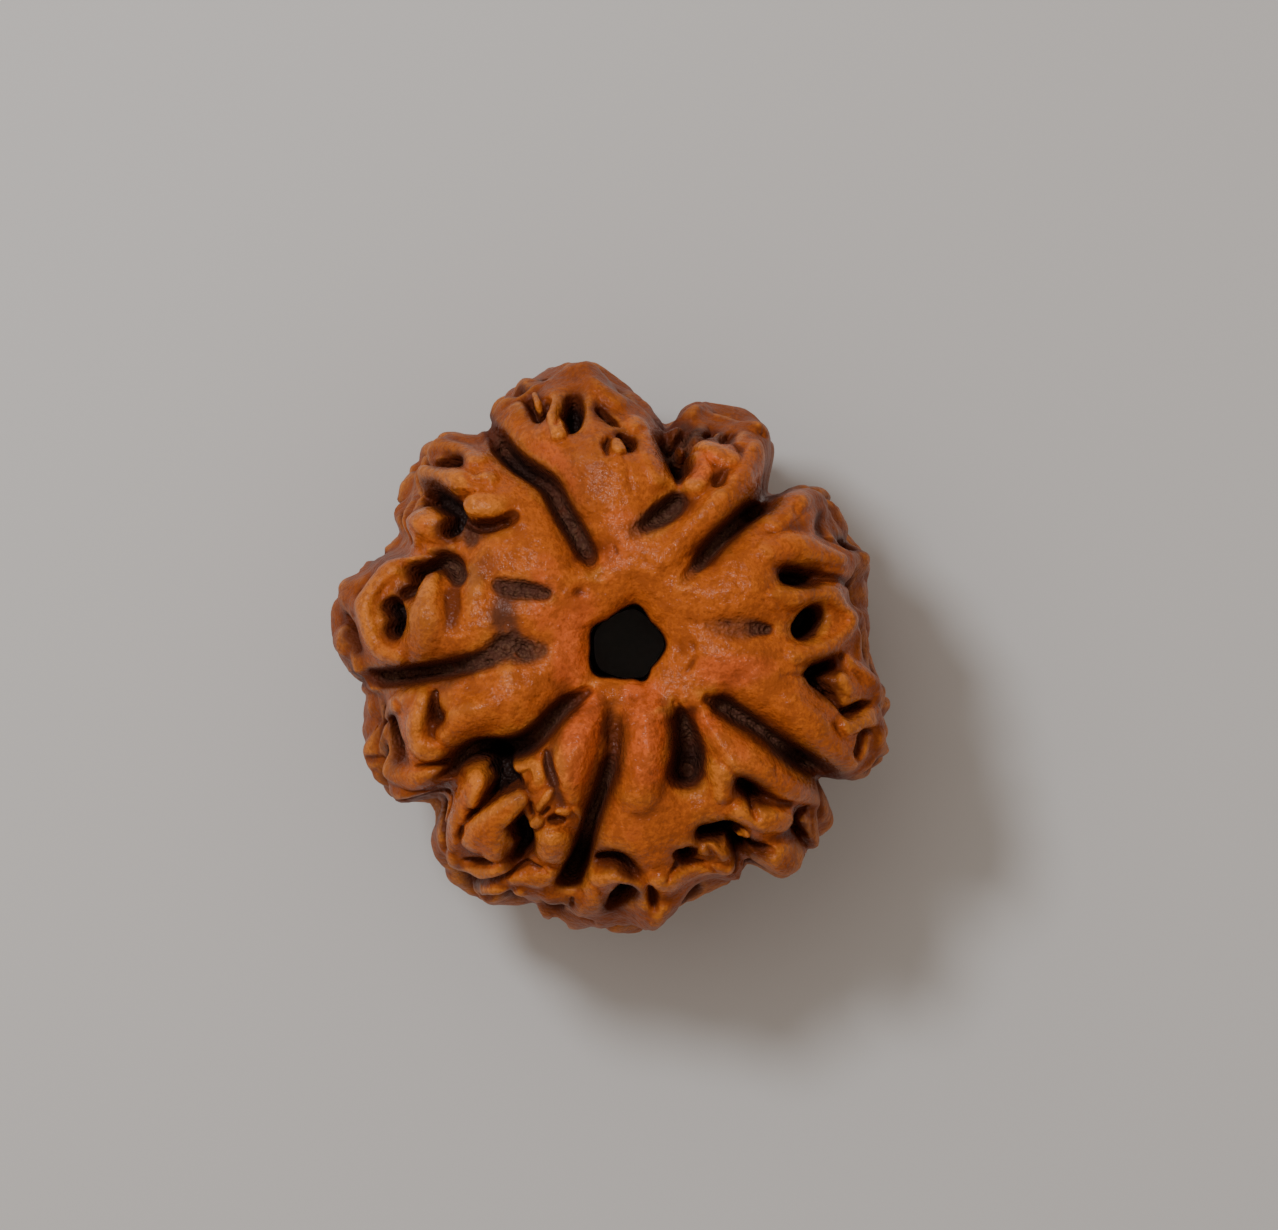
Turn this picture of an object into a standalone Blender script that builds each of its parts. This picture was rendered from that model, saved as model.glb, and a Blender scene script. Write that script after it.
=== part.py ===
"""Rudraksha bead: the dried stone of an Elaeocarpus fruit, grown as one woody piece.

The bead lies on its underside with the natural bore upright. Ten clefts part it into lobes, and
the lobes carry fingers, knobs and pits. The whole surface is one closed grid that runs round the
bore one way and round the bead's section the other way, moved in and out along its own normals,
and more nearly up and down where it faces upward.
"""

import math

import bpy
import numpy as np

# Driving sizes, in millimetres
BEAD_HEIGHT = 19.4
BORE_MIDDLE = (0.85, 0.05)
BORE_RADIUS_BELOW = 1.5
CROWN_RADIUS = 4.6
FUNNEL_DROP = 1.7
SECTION_POWER = 0.86
REST_CUT = 0.50
REST_SNAP = 0.03

# Fineness of the grid and of the finished mesh
COLUMNS = 540
ROWS = 300
TRIANGLES = 11600

# Seed of every random draw
SEED = 31

# The relief: depths, reaches, heights and sizes in millimetres, slopes and blends as ratios
TILT_WEIGHT = 0.5
PIT_BLEND = 5.0
SHOULDER_DEPTH = 0.80
SHOULDER_REACH = 1.20
PIT_ROLL_DEPTH = 0.38
PIT_ROLL_REACH = 0.80
SWELL_SIZE = 2.8
SWELL_HEIGHT = 0.22
BULGE_SIZE = 2.1
BULGE_HEIGHT = 0.90
BULGE_ON_TOP = 0.16
BASE_DROP = 0.24
FINGER_BLEND = 0.30
FINGER_SLOPE = 1.6
TONGUE_BLEND = 0.10
TONGUE_SLOPE = 6.0
LIFT = 1.5

MM = 0.001

# Outermost points of the lobes seen from above, x and y, anticlockwise from the right
OUTLINE = (
    (11.20, 0.45), (11.25, 1.30), (11.14, 2.30), (11.20, 3.00), (11.33, 3.67), (11.10, 4.25),
    (10.50, 4.68), (10.33, 5.20), (9.98, 5.80), (9.78, 6.43), (9.20, 7.08), (8.68, 7.22),
    (8.20, 7.25), (7.67, 8.12), (7.30, 8.85), (6.76, 9.47), (6.31, 10.18), (5.41, 10.49),
    (4.68, 10.49), (4.00, 10.72), (3.30, 10.62), (2.60, 10.50), (1.78, 10.43), (1.16, 11.00),
    (0.54, 11.64), (-0.25, 12.21), (-1.10, 12.46), (-1.83, 12.29), (-2.56, 12.07),
    (-3.24, 11.78), (-3.86, 11.36), (-4.50, 11.05), (-5.07, 10.49), (-5.51, 9.92),
    (-6.20, 9.44), (-6.87, 9.39), (-7.61, 9.08), (-8.20, 8.74), (-8.44, 8.20), (-8.79, 7.39),
    (-9.24, 6.43), (-9.33, 5.90), (-9.50, 5.00), (-9.90, 4.06), (-10.43, 3.61),
    (-10.99, 3.22), (-11.40, 2.93), (-11.92, 2.09), (-12.02, 1.64), (-11.92, 1.19),
    (-12.02, 0.60), (-11.80, -0.15), (-11.41, -0.68), (-11.19, -1.20), (-10.95, -1.92),
    (-10.60, -2.50), (-10.57, -3.38), (-10.66, -3.90), (-10.45, -5.07), (-9.86, -5.97),
    (-9.35, -6.48), (-8.56, -6.86), (-8.20, -7.40), (-7.80, -8.00), (-7.49, -9.08),
    (-7.04, -10.03), (-6.03, -10.74), (-5.12, -11.19), (-4.50, -11.15), (-3.60, -11.10),
    (-2.87, -11.33), (-2.23, -11.98), (-1.04, -12.11), (-0.25, -12.14), (0.65, -12.46),
    (1.30, -12.48), (2.12, -12.04), (2.85, -11.39), (3.58, -10.88), (4.51, -10.57),
    (5.20, -10.20), (6.00, -10.12), (6.82, -10.09), (7.72, -10.01), (8.40, -9.25),
    (8.96, -8.34), (9.70, -7.72), (10.15, -6.99), (10.30, -6.30), (10.77, -5.72),
    (11.56, -5.41), (11.98, -4.73), (12.07, -3.90), (11.95, -3.16), (12.26, -2.31),
    (11.78, -1.58), (11.45, -0.85), (11.15, -0.11),
)

# Notches that the clefts cut into that outline: x, y, half width, depth
NOTCHES = (
    (-5.38, 8.96, 0.45, 0.85), (2.51, 9.87, 0.55, 0.85), (6.85, 6.65, 0.60, 1.35),
    (9.27, -5.86, 0.55, 1.45), (5.92, -9.16, 0.50, 1.00), (-7.70, -7.00, 0.50, 0.90),
    (-10.75, -2.00, 0.40, 0.40), (-9.02, 4.73, 0.50, 0.60),
)

# Rim of the bore seen from above
BORE_RIM = (
    (2.48, 0.10), (2.17, 0.73), (1.78, 1.07), (1.50, 1.58), (1.20, 1.90), (0.80, 1.75),
    (0.35, 1.50), (-0.03, 1.19), (-0.70, 0.88), (-0.72, 0.00), (-0.76, -0.68), (-0.60, -1.13),
    (0.20, -1.20), (1.05, -1.24), (1.55, -1.45), (1.78, -0.79), (2.17, -0.39),
)

# Clefts between the lobes, from the bore outward: x, y, half width, depth.
# Each entry ends with its depth where it crosses the widest level of the bead.
CLEFTS = (
    (((-0.60, 3.05, 0.16, 0.15), (-0.72, 3.60, 0.30, 0.70), (-0.95, 4.10, 0.36, 1.10),
      (-1.35, 4.85, 0.40, 1.35), (-1.75, 5.50, 0.40, 1.45), (-2.10, 6.15, 0.40, 1.55),
      (-2.60, 7.05, 0.40, 1.70), (-3.25, 7.60, 0.38, 1.80), (-3.90, 8.05, 0.38, 1.90),
      (-4.50, 8.60, 0.38, 1.90), (-4.95, 9.15, 0.38, 1.70)), 1.00),
    (((3.05, 7.00, 0.16, 0.30), (3.05, 7.60, 0.22, 0.80), (2.92, 8.20, 0.25, 1.00),
      (2.72, 8.90, 0.25, 1.10), (2.60, 9.50, 0.28, 1.20)), 1.05),
    (((3.20, 2.80, 0.22, 0.15), (3.60, 3.30, 0.28, 0.55), (4.05, 3.80, 0.33, 0.95),
      (4.60, 4.45, 0.34, 1.20), (5.20, 5.05, 0.33, 1.40), (5.80, 5.60, 0.34, 1.60),
      (6.35, 6.05, 0.36, 1.80), (6.85, 6.35, 0.34, 1.80)), 1.60),
    (((4.00, 0.90, 0.45, 0.12), (5.00, 0.88, 0.50, 0.35), (6.00, 0.85, 0.45, 0.45),
      (6.85, 0.80, 0.22, 0.50)), 0.45),
    (((4.20, -2.15, 0.26, 0.60), (4.90, -2.45, 0.36, 1.15), (5.50, -2.85, 0.36, 1.30),
      (6.15, -3.25, 0.30, 1.30), (6.80, -3.70, 0.27, 1.30), (7.40, -4.15, 0.28, 1.40),
      (8.00, -4.60, 0.34, 1.60), (8.60, -5.00, 0.40, 1.80), (9.20, -5.40, 0.36, 1.70)), 1.55),
    (((2.80, -2.30, 0.20, 0.40), (3.05, -2.90, 0.28, 1.10), (3.30, -3.70, 0.42, 1.60),
      (3.45, -4.60, 0.54, 1.80), (3.40, -5.40, 0.56, 1.80)), 1.15),
    (((0.25, -2.40, 0.28, 0.20), (0.30, -3.30, 0.34, 0.55), (0.25, -4.40, 0.30, 0.85),
      (-0.08, -5.50, 0.32, 1.15), (-0.50, -6.70, 0.32, 1.30), (-0.85, -7.80, 0.33, 1.55),
      (-1.15, -8.80, 0.38, 1.80), (-1.42, -9.60, 0.42, 1.90), (-1.78, -10.30, 0.48, 1.70)), 0.45),
    (((-0.80, -1.70, 0.22, 0.50), (-1.35, -2.10, 0.30, 0.90), (-1.85, -2.50, 0.34, 1.10),
      (-2.35, -3.00, 0.38, 1.30), (-2.85, -3.55, 0.42, 1.60), (-3.50, -4.05, 0.46, 1.80),
      (-4.30, -4.35, 0.48, 1.90), (-5.10, -4.40, 0.48, 1.90), (-5.90, -4.50, 0.42, 1.80),
      (-6.60, -4.90, 0.30, 1.40), (-6.90, -5.40, 0.22, 0.90)), 1.00),
    (((-3.00, -0.10, 0.45, 0.30), (-3.60, -0.10, 0.58, 0.50), (-4.30, 0.00, 0.62, 0.60),
      (-5.00, -0.35, 0.52, 0.70), (-5.70, -0.60, 0.38, 0.90), (-6.40, -0.80, 0.34, 1.20),
      (-7.20, -0.97, 0.34, 1.50), (-8.10, -1.12, 0.34, 1.70), (-9.00, -1.28, 0.34, 1.70),
      (-9.80, -1.38, 0.36, 1.50), (-10.40, -1.45, 0.38, 1.10)), 0.55),
    (((-6.50, 3.15, 0.42, 0.80), (-6.85, 3.60, 0.40, 1.10), (-7.35, 3.85, 0.32, 1.20),
      (-7.90, 3.60, 0.30, 1.30), (-8.35, 3.45, 0.30, 1.30)), 0.75),
)

# Pits of the lobes seen from above: x, y, half width, depth along each pit
PITS = (
    ((-7.40, 7.86, 0.20, 0.60), (-6.60, 7.95, 0.30, 1.50)),
    ((-8.10, 6.62, 0.30, 1.20), (-7.55, 6.62, 0.38, 1.60), (-7.00, 6.25, 0.40, 1.60),
     (-6.60, 5.90, 0.38, 1.50), (-6.70, 5.40, 0.34, 1.40), (-6.92, 5.05, 0.26, 1.20)),
    ((-6.15, 5.50, 0.22, 0.90), (-5.60, 5.24, 0.22, 0.90), (-5.00, 5.22, 0.20, 0.80),
     (-4.40, 5.40, 0.20, 0.50)),
    ((-8.40, 3.30, 0.24, 1.00), (-8.45, 2.75, 0.26, 1.00), (-8.90, 2.42, 0.26, 0.90)),
    ((-9.35, 1.85, 0.38, 1.60), (-9.15, 1.30, 0.38, 1.90), (-9.28, 0.80, 0.34, 1.70)),
    ((-11.35, 1.15, 0.22, 0.70), (-11.15, 0.60, 0.30, 1.00), (-10.98, 0.05, 0.24, 0.90)),
    ((-4.60, 2.65, 0.34, 0.45), (-3.60, 2.45, 0.38, 0.60), (-2.70, 2.30, 0.30, 0.40)),
    ((-9.75, -3.35, 0.26, 1.00), (-9.60, -3.85, 0.36, 1.40), (-9.40, -4.30, 0.34, 1.40),
     (-9.10, -4.65, 0.22, 0.90)),
    ((-7.55, -2.00, 0.18, 0.50), (-7.50, -2.55, 0.20, 0.70), (-7.38, -3.00, 0.22, 0.90)),
    ((-4.80, -4.80, 0.52, 1.90), (-4.60, -5.40, 0.60, 2.00), (-4.20, -5.85, 0.46, 1.90)),
    ((-4.85, -5.80, 0.40, 1.70), (-5.15, -6.40, 0.34, 1.50), (-5.45, -6.85, 0.24, 1.10),
     (-5.85, -7.30, 0.20, 0.60)),
    ((-3.90, -7.45, 0.32, 1.40), (-3.70, -7.95, 0.40, 1.60), (-3.60, -8.45, 0.36, 1.50),
     (-3.95, -9.05, 0.26, 1.10)),
    ((-0.35, -9.25, 0.20, 0.90), (0.15, -9.15, 0.26, 1.20), (0.60, -9.25, 0.28, 1.20),
     (1.10, -9.70, 0.20, 0.80)),
    ((0.92, -10.60, 0.30, 1.40), (0.62, -10.95, 0.40, 1.50), (0.20, -11.40, 0.28, 1.00)),
    ((3.05, -8.90, 0.22, 0.70), (3.42, -9.05, 0.34, 1.30)),
    ((5.75, -5.80, 0.26, 1.20), (6.10, -6.08, 0.32, 1.30), (6.50, -6.38, 0.22, 0.90)),
    ((4.15, -8.05, 0.30, 1.60), (4.75, -8.00, 0.36, 1.80), (5.35, -8.00, 0.38, 1.90),
     (5.72, -8.50, 0.40, 1.90), (5.88, -9.05, 0.28, 1.50)),
    ((5.85, -8.75, 0.26, 1.40), (6.35, -8.55, 0.22, 1.00), (6.80, -8.42, 0.14, 0.50)),
    ((8.75, -7.25, 0.18, 0.50), (8.28, -7.38, 0.20, 0.70), (8.12, -7.70, 0.22, 0.90),
     (8.35, -8.10, 0.20, 0.70)),
    ((7.75, 3.12, 0.32, 1.30), (8.25, 3.05, 0.38, 1.50), (8.80, 3.02, 0.26, 1.10)),
    ((8.42, 0.85, 0.40, 1.80), (8.82, 1.12, 0.50, 2.10), (9.10, 1.45, 0.38, 1.90)),
    ((9.75, -0.68, 0.22, 1.20), (9.30, -0.88, 0.28, 1.50), (8.95, -1.15, 0.34, 1.60),
     (9.20, -1.50, 0.26, 1.20), (9.65, -2.00, 0.18, 0.80)),
    ((10.20, -2.72, 0.20, 0.70), (10.75, -2.42, 0.18, 0.50)),
    ((3.10, 9.35, 0.34, 1.40), (3.45, 9.95, 0.26, 0.80)),
    ((3.12, 8.40, 0.28, 1.20), (3.20, 7.95, 0.24, 1.00)),
    ((4.35, 9.58, 0.22, 1.10), (4.65, 9.75, 0.24, 1.20)),
    ((2.95, 6.28, 0.38, 1.00), (2.60, 5.95, 0.46, 1.15), (2.15, 5.60, 0.42, 1.00),
     (1.60, 5.20, 0.30, 0.60)),
    ((-3.35, 10.75, 0.26, 0.80), (-3.15, 10.35, 0.30, 1.00), (-3.05, 10.05, 0.24, 0.90)),
    ((-1.48, 10.60, 0.32, 1.30), (-1.50, 10.20, 0.44, 1.90), (-1.62, 9.80, 0.42, 1.80)),
    ((-0.25, 10.22, 0.22, 0.90), (0.20, 9.90, 0.20, 0.70)),
    ((0.62, 9.15, 0.20, 0.80), (0.90, 8.90, 0.24, 0.90)),
)

# Fingers and knobs that stand proud, as rounded bodies: x, y, half width, level of the crest
FINGERS = (
    ((-5.05, 9.95, 0.50, 0.05), (-4.50, 10.60, 0.60, 0.15), (-3.50, 11.45, 0.60, 0.20),
     (-2.20, 11.75, 0.75, 0.25), (-0.90, 11.60, 0.80, 0.25), (0.20, 10.90, 0.80, 0.20)),
    ((1.35, 10.00, 0.60, 0.15), (1.72, 9.20, 0.60, 0.18), (1.95, 8.20, 0.60, 0.15),
     (2.20, 7.30, 0.50, 0.05)),
    ((2.95, 10.25, 0.36, 0.10), (3.90, 10.55, 0.40, 0.20), (5.20, 10.15, 0.55, 0.25),
     (6.20, 9.50, 0.65, 0.25), (6.90, 8.60, 0.70, 0.20)),
    ((2.00, 3.30, 0.50, 0.05), (3.55, 4.85, 0.58, 0.35), (4.90, 6.15, 0.62, 0.42),
     (6.00, 7.35, 0.62, 0.38), (6.50, 8.30, 0.70, 0.30)),
    ((4.20, 8.80, 0.55, 0.22), (4.70, 8.40, 0.60, 0.20), (5.30, 8.00, 0.50, 0.20)),
    ((3.85, 8.30, 0.42, 0.15), (3.95, 7.60, 0.50, 0.15), (3.70, 7.00, 0.50, 0.10)),
    ((7.10, 5.65, 0.75, 0.15), (8.00, 6.40, 0.70, 0.25), (8.75, 6.65, 0.55, 0.20),
     (9.30, 6.40, 0.42, 0.10)),
    ((9.75, 5.90, 0.42, 0.12), (10.00, 5.35, 0.42, 0.10), (10.25, 4.90, 0.38, 0.05)),
    ((7.00, 4.15, 0.80, 0.12), (7.90, 4.28, 0.75, 0.28), (8.80, 4.22, 0.62, 0.30),
     (9.70, 3.92, 0.52, 0.24)),
    ((7.20, 2.10, 0.55, 0.12), (7.90, 2.20, 0.50, 0.22), (8.70, 2.28, 0.42, 0.22),
     (9.50, 2.30, 0.42, 0.26), (10.15, 1.90, 0.45, 0.24), (10.40, 1.20, 0.42, 0.20),
     (10.20, 0.50, 0.42, 0.18), (9.70, 0.02, 0.42, 0.18), (8.90, -0.10, 0.45, 0.18),
     (8.00, -0.20, 0.55, 0.12)),
    ((10.80, 3.90, 0.45, 0.10), (11.00, 3.40, 0.42, 0.10)),
    ((10.90, 2.40, 0.40, 0.10), (11.00, 1.60, 0.40, 0.10)),
    ((10.95, 0.50, 0.40, 0.10), (10.95, -0.30, 0.40, 0.05)),
    ((7.70, -2.60, 0.95, 0.12), (8.60, -3.40, 0.90, 0.26), (9.25, -4.25, 0.75, 0.24),
     (9.90, -4.90, 0.60, 0.15)),
    ((10.50, -0.60, 0.40, 0.10), (11.00, -1.20, 0.42, 0.15), (11.35, -2.00, 0.42, 0.15)),
    ((10.10, -3.20, 0.42, 0.20), (10.80, -2.95, 0.40, 0.20), (11.40, -2.85, 0.42, 0.15)),
    ((11.25, -3.60, 0.42, 0.15), (11.15, -4.50, 0.48, 0.15), (10.60, -5.10, 0.42, 0.10)),
    ((3.95, -3.00, 0.42, 0.05), (4.80, -3.75, 0.68, 0.25), (6.00, -4.75, 0.74, 0.34),
     (7.40, -5.65, 0.74, 0.34), (8.70, -6.25, 0.68, 0.30), (9.60, -6.75, 0.60, 0.20)),
    ((4.45, -4.90, 0.50, 0.15), (4.85, -5.50, 0.50, 0.25), (4.90, -6.20, 0.45, 0.15)),
    ((5.60, -7.00, 0.55, 0.15), (6.60, -7.25, 0.60, 0.28), (7.50, -7.40, 0.50, 0.25)),
    ((7.02, -8.85, 1.05, 0.42), (7.30, -8.95, 1.10, 0.42)),
    ((9.45, -7.15, 0.48, 0.15), (9.00, -7.90, 0.45, 0.15), (8.75, -8.60, 0.42, 0.10)),
    ((1.35, -1.95, 0.60, 0.10), (1.65, -3.20, 0.86, 0.35), (1.55, -4.60, 0.86, 0.32),
     (1.20, -6.00, 0.90, 0.15)),
    ((2.10, -9.90, 0.45, 0.15), (3.10, -9.95, 0.50, 0.20), (4.40, -9.75, 0.50, 0.20),
     (5.25, -9.45, 0.42, 0.15)),
    ((-0.55, -10.20, 0.42, 0.15), (0.30, -9.95, 0.36, 0.15), (1.15, -10.30, 0.32, 0.15),
     (1.42, -11.00, 0.30, 0.10)),
    ((2.35, -10.95, 0.45, 0.15), (1.75, -11.60, 0.55, 0.20), (0.80, -11.95, 0.50, 0.10)),
    ((-0.80, -10.60, 0.40, 0.15), (-0.70, -11.30, 0.48, 0.15), (-1.40, -11.60, 0.45, 0.10)),
    ((-0.50, -1.90, 0.42, 0.05), (-1.05, -3.00, 0.72, 0.35), (-1.45, -4.30, 0.80, 0.42),
     (-1.55, -5.40, 0.62, 0.38), (-1.45, -6.30, 0.34, 0.20)),
    ((-6.15, -6.50, 0.60, 0.30), (-6.75, -7.40, 0.66, 0.30), (-6.85, -8.30, 0.55, 0.22)),
    ((-4.60, -7.10, 0.55, 0.28), (-5.20, -7.90, 0.75, 0.34), (-5.00, -8.50, 0.60, 0.28)),
    ((-2.35, -8.35, 0.88, 0.42), (-2.40, -8.65, 0.88, 0.42)),
    ((-3.90, -10.10, 0.42, 0.15), (-3.10, -10.15, 0.52, 0.25), (-2.50, -9.95, 0.48, 0.20)),
    ((-6.70, -9.00, 0.40, 0.15), (-6.40, -9.55, 0.32, 0.15), (-5.40, -9.60, 0.32, 0.20),
     (-4.50, -9.40, 0.32, 0.15)),
    ((-7.00, -9.80, 0.42, 0.10), (-6.00, -10.40, 0.42, 0.15), (-4.80, -10.30, 0.40, 0.15),
     (-3.90, -10.60, 0.38, 0.10)),
    ((-7.55, -7.60, 0.35, 0.05), (-7.50, -8.50, 0.38, 0.10), (-7.30, -9.40, 0.38, 0.10)),
    ((-5.20, -2.70, 0.90, 0.10), (-6.10, -3.10, 0.85, 0.20), (-6.90, -3.70, 0.60, 0.20)),
    ((-8.10, -2.20, 0.48, 0.20), (-8.30, -3.10, 0.58, 0.30), (-8.20, -4.00, 0.58, 0.30),
     (-7.40, -4.50, 0.48, 0.20)),
    ((-8.60, -2.15, 0.42, 0.18), (-9.40, -2.45, 0.42, 0.18), (-10.00, -2.80, 0.38, 0.15),
     (-10.25, -3.60, 0.36, 0.10), (-10.20, -4.50, 0.34, 0.10)),
    ((-9.70, -4.98, 0.36, 0.10), (-9.20, -5.20, 0.45, 0.20), (-8.30, -5.60, 0.50, 0.26),
     (-7.40, -5.50, 0.45, 0.20)),
    ((-9.90, -5.60, 0.34, 0.05), (-9.20, -6.15, 0.38, 0.10), (-8.20, -6.35, 0.38, 0.10)),
    ((-7.70, 2.20, 0.72, 0.20), (-7.80, 1.30, 0.98, 0.28), (-7.95, 0.40, 0.95, 0.12),
     (-8.20, -0.30, 0.65, 0.00)),
    ((-8.30, 3.88, 0.40, 0.18), (-9.30, 3.50, 0.50, 0.25), (-10.00, 2.70, 0.55, 0.28),
     (-10.28, 1.80, 0.52, 0.30), (-10.20, 0.80, 0.46, 0.25), (-9.90, -0.05, 0.48, 0.20),
     (-9.20, -0.45, 0.48, 0.15)),
    ((-10.60, 3.00, 0.40, 0.10), (-11.35, 2.40, 0.42, 0.10), (-11.70, 1.60, 0.32, 0.05),
     (-11.72, 0.70, 0.30, 0.05), (-11.40, -0.10, 0.38, 0.10), (-10.90, -0.80, 0.40, 0.05)),
    ((-5.85, 3.20, 0.50, 0.00), (-5.75, 2.50, 0.70, 0.08), (-5.70, 1.70, 0.60, -0.05)),
    ((-8.55, 7.15, 0.38, 0.12), (-7.90, 7.42, 0.40, 0.28), (-7.10, 7.38, 0.44, 0.38),
     (-6.40, 7.12, 0.45, 0.36), (-5.70, 6.95, 0.42, 0.25), (-5.20, 7.20, 0.50, 0.12)),
    ((-8.00, 8.30, 0.36, 0.10), (-7.30, 8.55, 0.42, 0.20), (-6.40, 8.65, 0.46, 0.20),
     (-5.70, 8.20, 0.48, 0.15)),
    ((-8.50, 4.95, 0.48, 0.15), (-8.20, 5.50, 0.72, 0.36), (-7.60, 5.30, 0.70, 0.32),
     (-7.10, 4.75, 0.48, 0.15)),
    ((-8.40, 4.10, 0.25, 0.05), (-7.60, 4.22, 0.28, 0.10), (-6.90, 4.30, 0.28, 0.10)),
    ((-9.05, 5.20, 0.30, 0.00), (-9.08, 6.10, 0.30, 0.00), (-8.90, 7.00, 0.30, 0.05)),
)

# Tongues, nubs and threads that reach over the pits: x, y, half width, level of the crest
TONGUES = (
    ((-2.15, 9.15, 0.34, 0.05), (-2.35, 9.85, 0.28, -0.05), (-2.42, 10.35, 0.24, -0.25)),
    ((0.38, 8.75, 0.26, 0.00), (0.46, 8.50, 0.30, 0.08)),
    ((4.10, 9.95, 0.20, -0.30), (3.95, 9.55, 0.20, -0.30), (4.30, 9.25, 0.20, -0.25),
     (4.80, 9.35, 0.20, -0.25), (4.98, 9.70, 0.18, -0.30)),
    ((10.00, -1.35, 0.36, -0.10), (10.20, -1.70, 0.32, -0.10)),
    ((4.35, -8.80, 0.45, -0.05), (4.70, -9.00, 0.42, -0.05)),
    ((-5.74, -5.66, 0.50, 0.15), (-6.10, -6.40, 0.55, 0.30)),
    ((-3.75, -6.42, 0.36, 0.12), (-4.50, -7.00, 0.50, 0.28)),
    ((-3.80, -5.05, 0.26, -0.15), (-3.35, -4.85, 0.32, 0.00), (-2.95, -5.10, 0.34, 0.05),
     (-2.95, -5.60, 0.28, -0.05), (-3.15, -5.90, 0.24, -0.15)),
    ((-7.62, 3.05, 0.40, 0.08), (-7.70, 2.30, 0.60, 0.20)),
    ((-9.30, 2.24, 0.12, -0.40), (-8.65, 2.05, 0.12, -0.30)),
    ((-5.62, 6.10, 0.52, 0.34), (-4.95, 6.15, 0.56, 0.20), (-4.20, 6.35, 0.55, -0.15)),
)

# How thickly the hidden flank and the underside carry pits and knobs of their own
FLANK_PITS = 150
FLANK_KNOBS = 260
FLANK_TOP_TURN = 1.76


def polar_table(points, blur_degrees):
    """Radius against azimuth of a ring of points, as a smooth periodic table of one row a half degree."""
    azimuth = np.radians(np.arange(720) * 0.5)
    offset = np.array(points) - np.array(BORE_MIDDLE)
    ring = np.interp(azimuth, np.arctan2(offset[:, 1], offset[:, 0]) % (2 * math.pi),
                     np.hypot(offset[:, 0], offset[:, 1]), period=2 * math.pi)
    waves = np.fft.rfftfreq(720, d=0.5)
    damping = np.exp(-2.0 * (math.pi * waves * blur_degrees) ** 2)
    return np.fft.irfft(np.fft.rfft(ring) * damping, 720)


def notch_table():
    """How far the clefts cut into the outline, against azimuth, one row a half degree."""
    azimuth = np.radians(np.arange(720) * 0.5)
    cut = np.zeros(720)
    for x, y, half_width, depth in NOTCHES:
        place = math.atan2(y - BORE_MIDDLE[1], x - BORE_MIDDLE[0])
        off = np.angle(np.exp(1j * (azimuth - place))) * math.hypot(x - BORE_MIDDLE[0], y - BORE_MIDDLE[1])
        cut = np.maximum(cut, depth * np.exp(-(off / half_width) ** 2))
    return cut


def look_up(table, azimuth):
    """Value of a half-degree table at any azimuth in radians."""
    return np.interp(np.degrees(azimuth) % 360.0, np.arange(720) * 0.5, table, period=360.0)


OUTER_SMOOTH = polar_table(OUTLINE, 9.0)
OUTLINE_TABLE = polar_table(OUTLINE, 0.5) - notch_table()
BORE_TABLE = polar_table(BORE_RIM, 5.0)


def bore_radius(azimuth, height):
    """The bore follows its traced rim above and rounds off towards the underside."""
    share = np.clip(height / BEAD_HEIGHT, 0.0, 1.0)
    return BORE_RADIUS_BELOW + (look_up(BORE_TABLE, azimuth) - BORE_RADIUS_BELOW) * share ** 0.5


def section(azimuth, turn):
    """Point of the plain bead: turn 0 to 1 climbs out of the bore to the crown, 1 to 3 runs over the
    widest level at 2 to the underside, 3 to 4 runs into the bore again, 4 to 5 climbs the bore."""
    half = BEAD_HEIGHT / 2
    outer = look_up(OUTER_SMOOTH, azimuth)
    quarter = math.pi / 2
    lean = (2.0 - np.clip(turn, 1.0, 3.0)) * quarter
    reach = np.clip(np.cos(lean), 0.0, 1.0) ** SECTION_POWER
    outside_radius = CROWN_RADIUS + (outer - CROWN_RADIUS) * reach
    outside_height = half + half * np.sign(lean) * np.abs(np.sin(lean)) ** SECTION_POWER
    dip = np.where(turn < 2.0, 1.0 - np.clip(turn, 0.0, 1.0), np.clip(turn - 3.0, 0.0, 1.0)) * quarter
    fall = FUNNEL_DROP * (1.0 - np.cos(dip))
    inside_height = np.where(turn < 2.0, BEAD_HEIGHT - fall, fall)
    climb = np.clip(turn - 4.0, 0.0, 1.0)
    wall_height = FUNNEL_DROP + (BEAD_HEIGHT - 2 * FUNNEL_DROP) * climb
    inside_height = np.where(turn > 4.0, wall_height, inside_height)
    bore = bore_radius(azimuth, inside_height)
    inside_radius = CROWN_RADIUS - (CROWN_RADIUS - bore) * np.sin(dip)
    on_outside = (turn >= 1.0) & (turn <= 3.0)
    radius = np.where(on_outside, outside_radius, inside_radius)
    height = np.where(on_outside, outside_height, inside_height)
    return np.stack((BORE_MIDDLE[0] + radius * np.cos(azimuth),
                     BORE_MIDDLE[1] + radius * np.sin(azimuth), height), axis=-1)


def turn_below(x, y):
    """Azimuth and turn of the upper surface straight below a point seen from above."""
    azimuth = math.atan2(y - BORE_MIDDLE[1], x - BORE_MIDDLE[0])
    radius = math.hypot(x - BORE_MIDDLE[0], y - BORE_MIDDLE[1])
    outer = float(look_up(OUTER_SMOOTH, np.array(azimuth)))
    bore = float(look_up(BORE_TABLE, np.array(azimuth)))
    if radius >= CROWN_RADIUS:
        share = min((radius - CROWN_RADIUS) / (outer - CROWN_RADIUS), 0.995)
        return azimuth, 2.0 - math.acos(share ** (1 / SECTION_POWER)) / (math.pi / 2)
    share = min((CROWN_RADIUS - radius) / (CROWN_RADIUS - bore), 0.995)
    return azimuth, 1.0 - math.asin(share) / (math.pi / 2)


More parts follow.
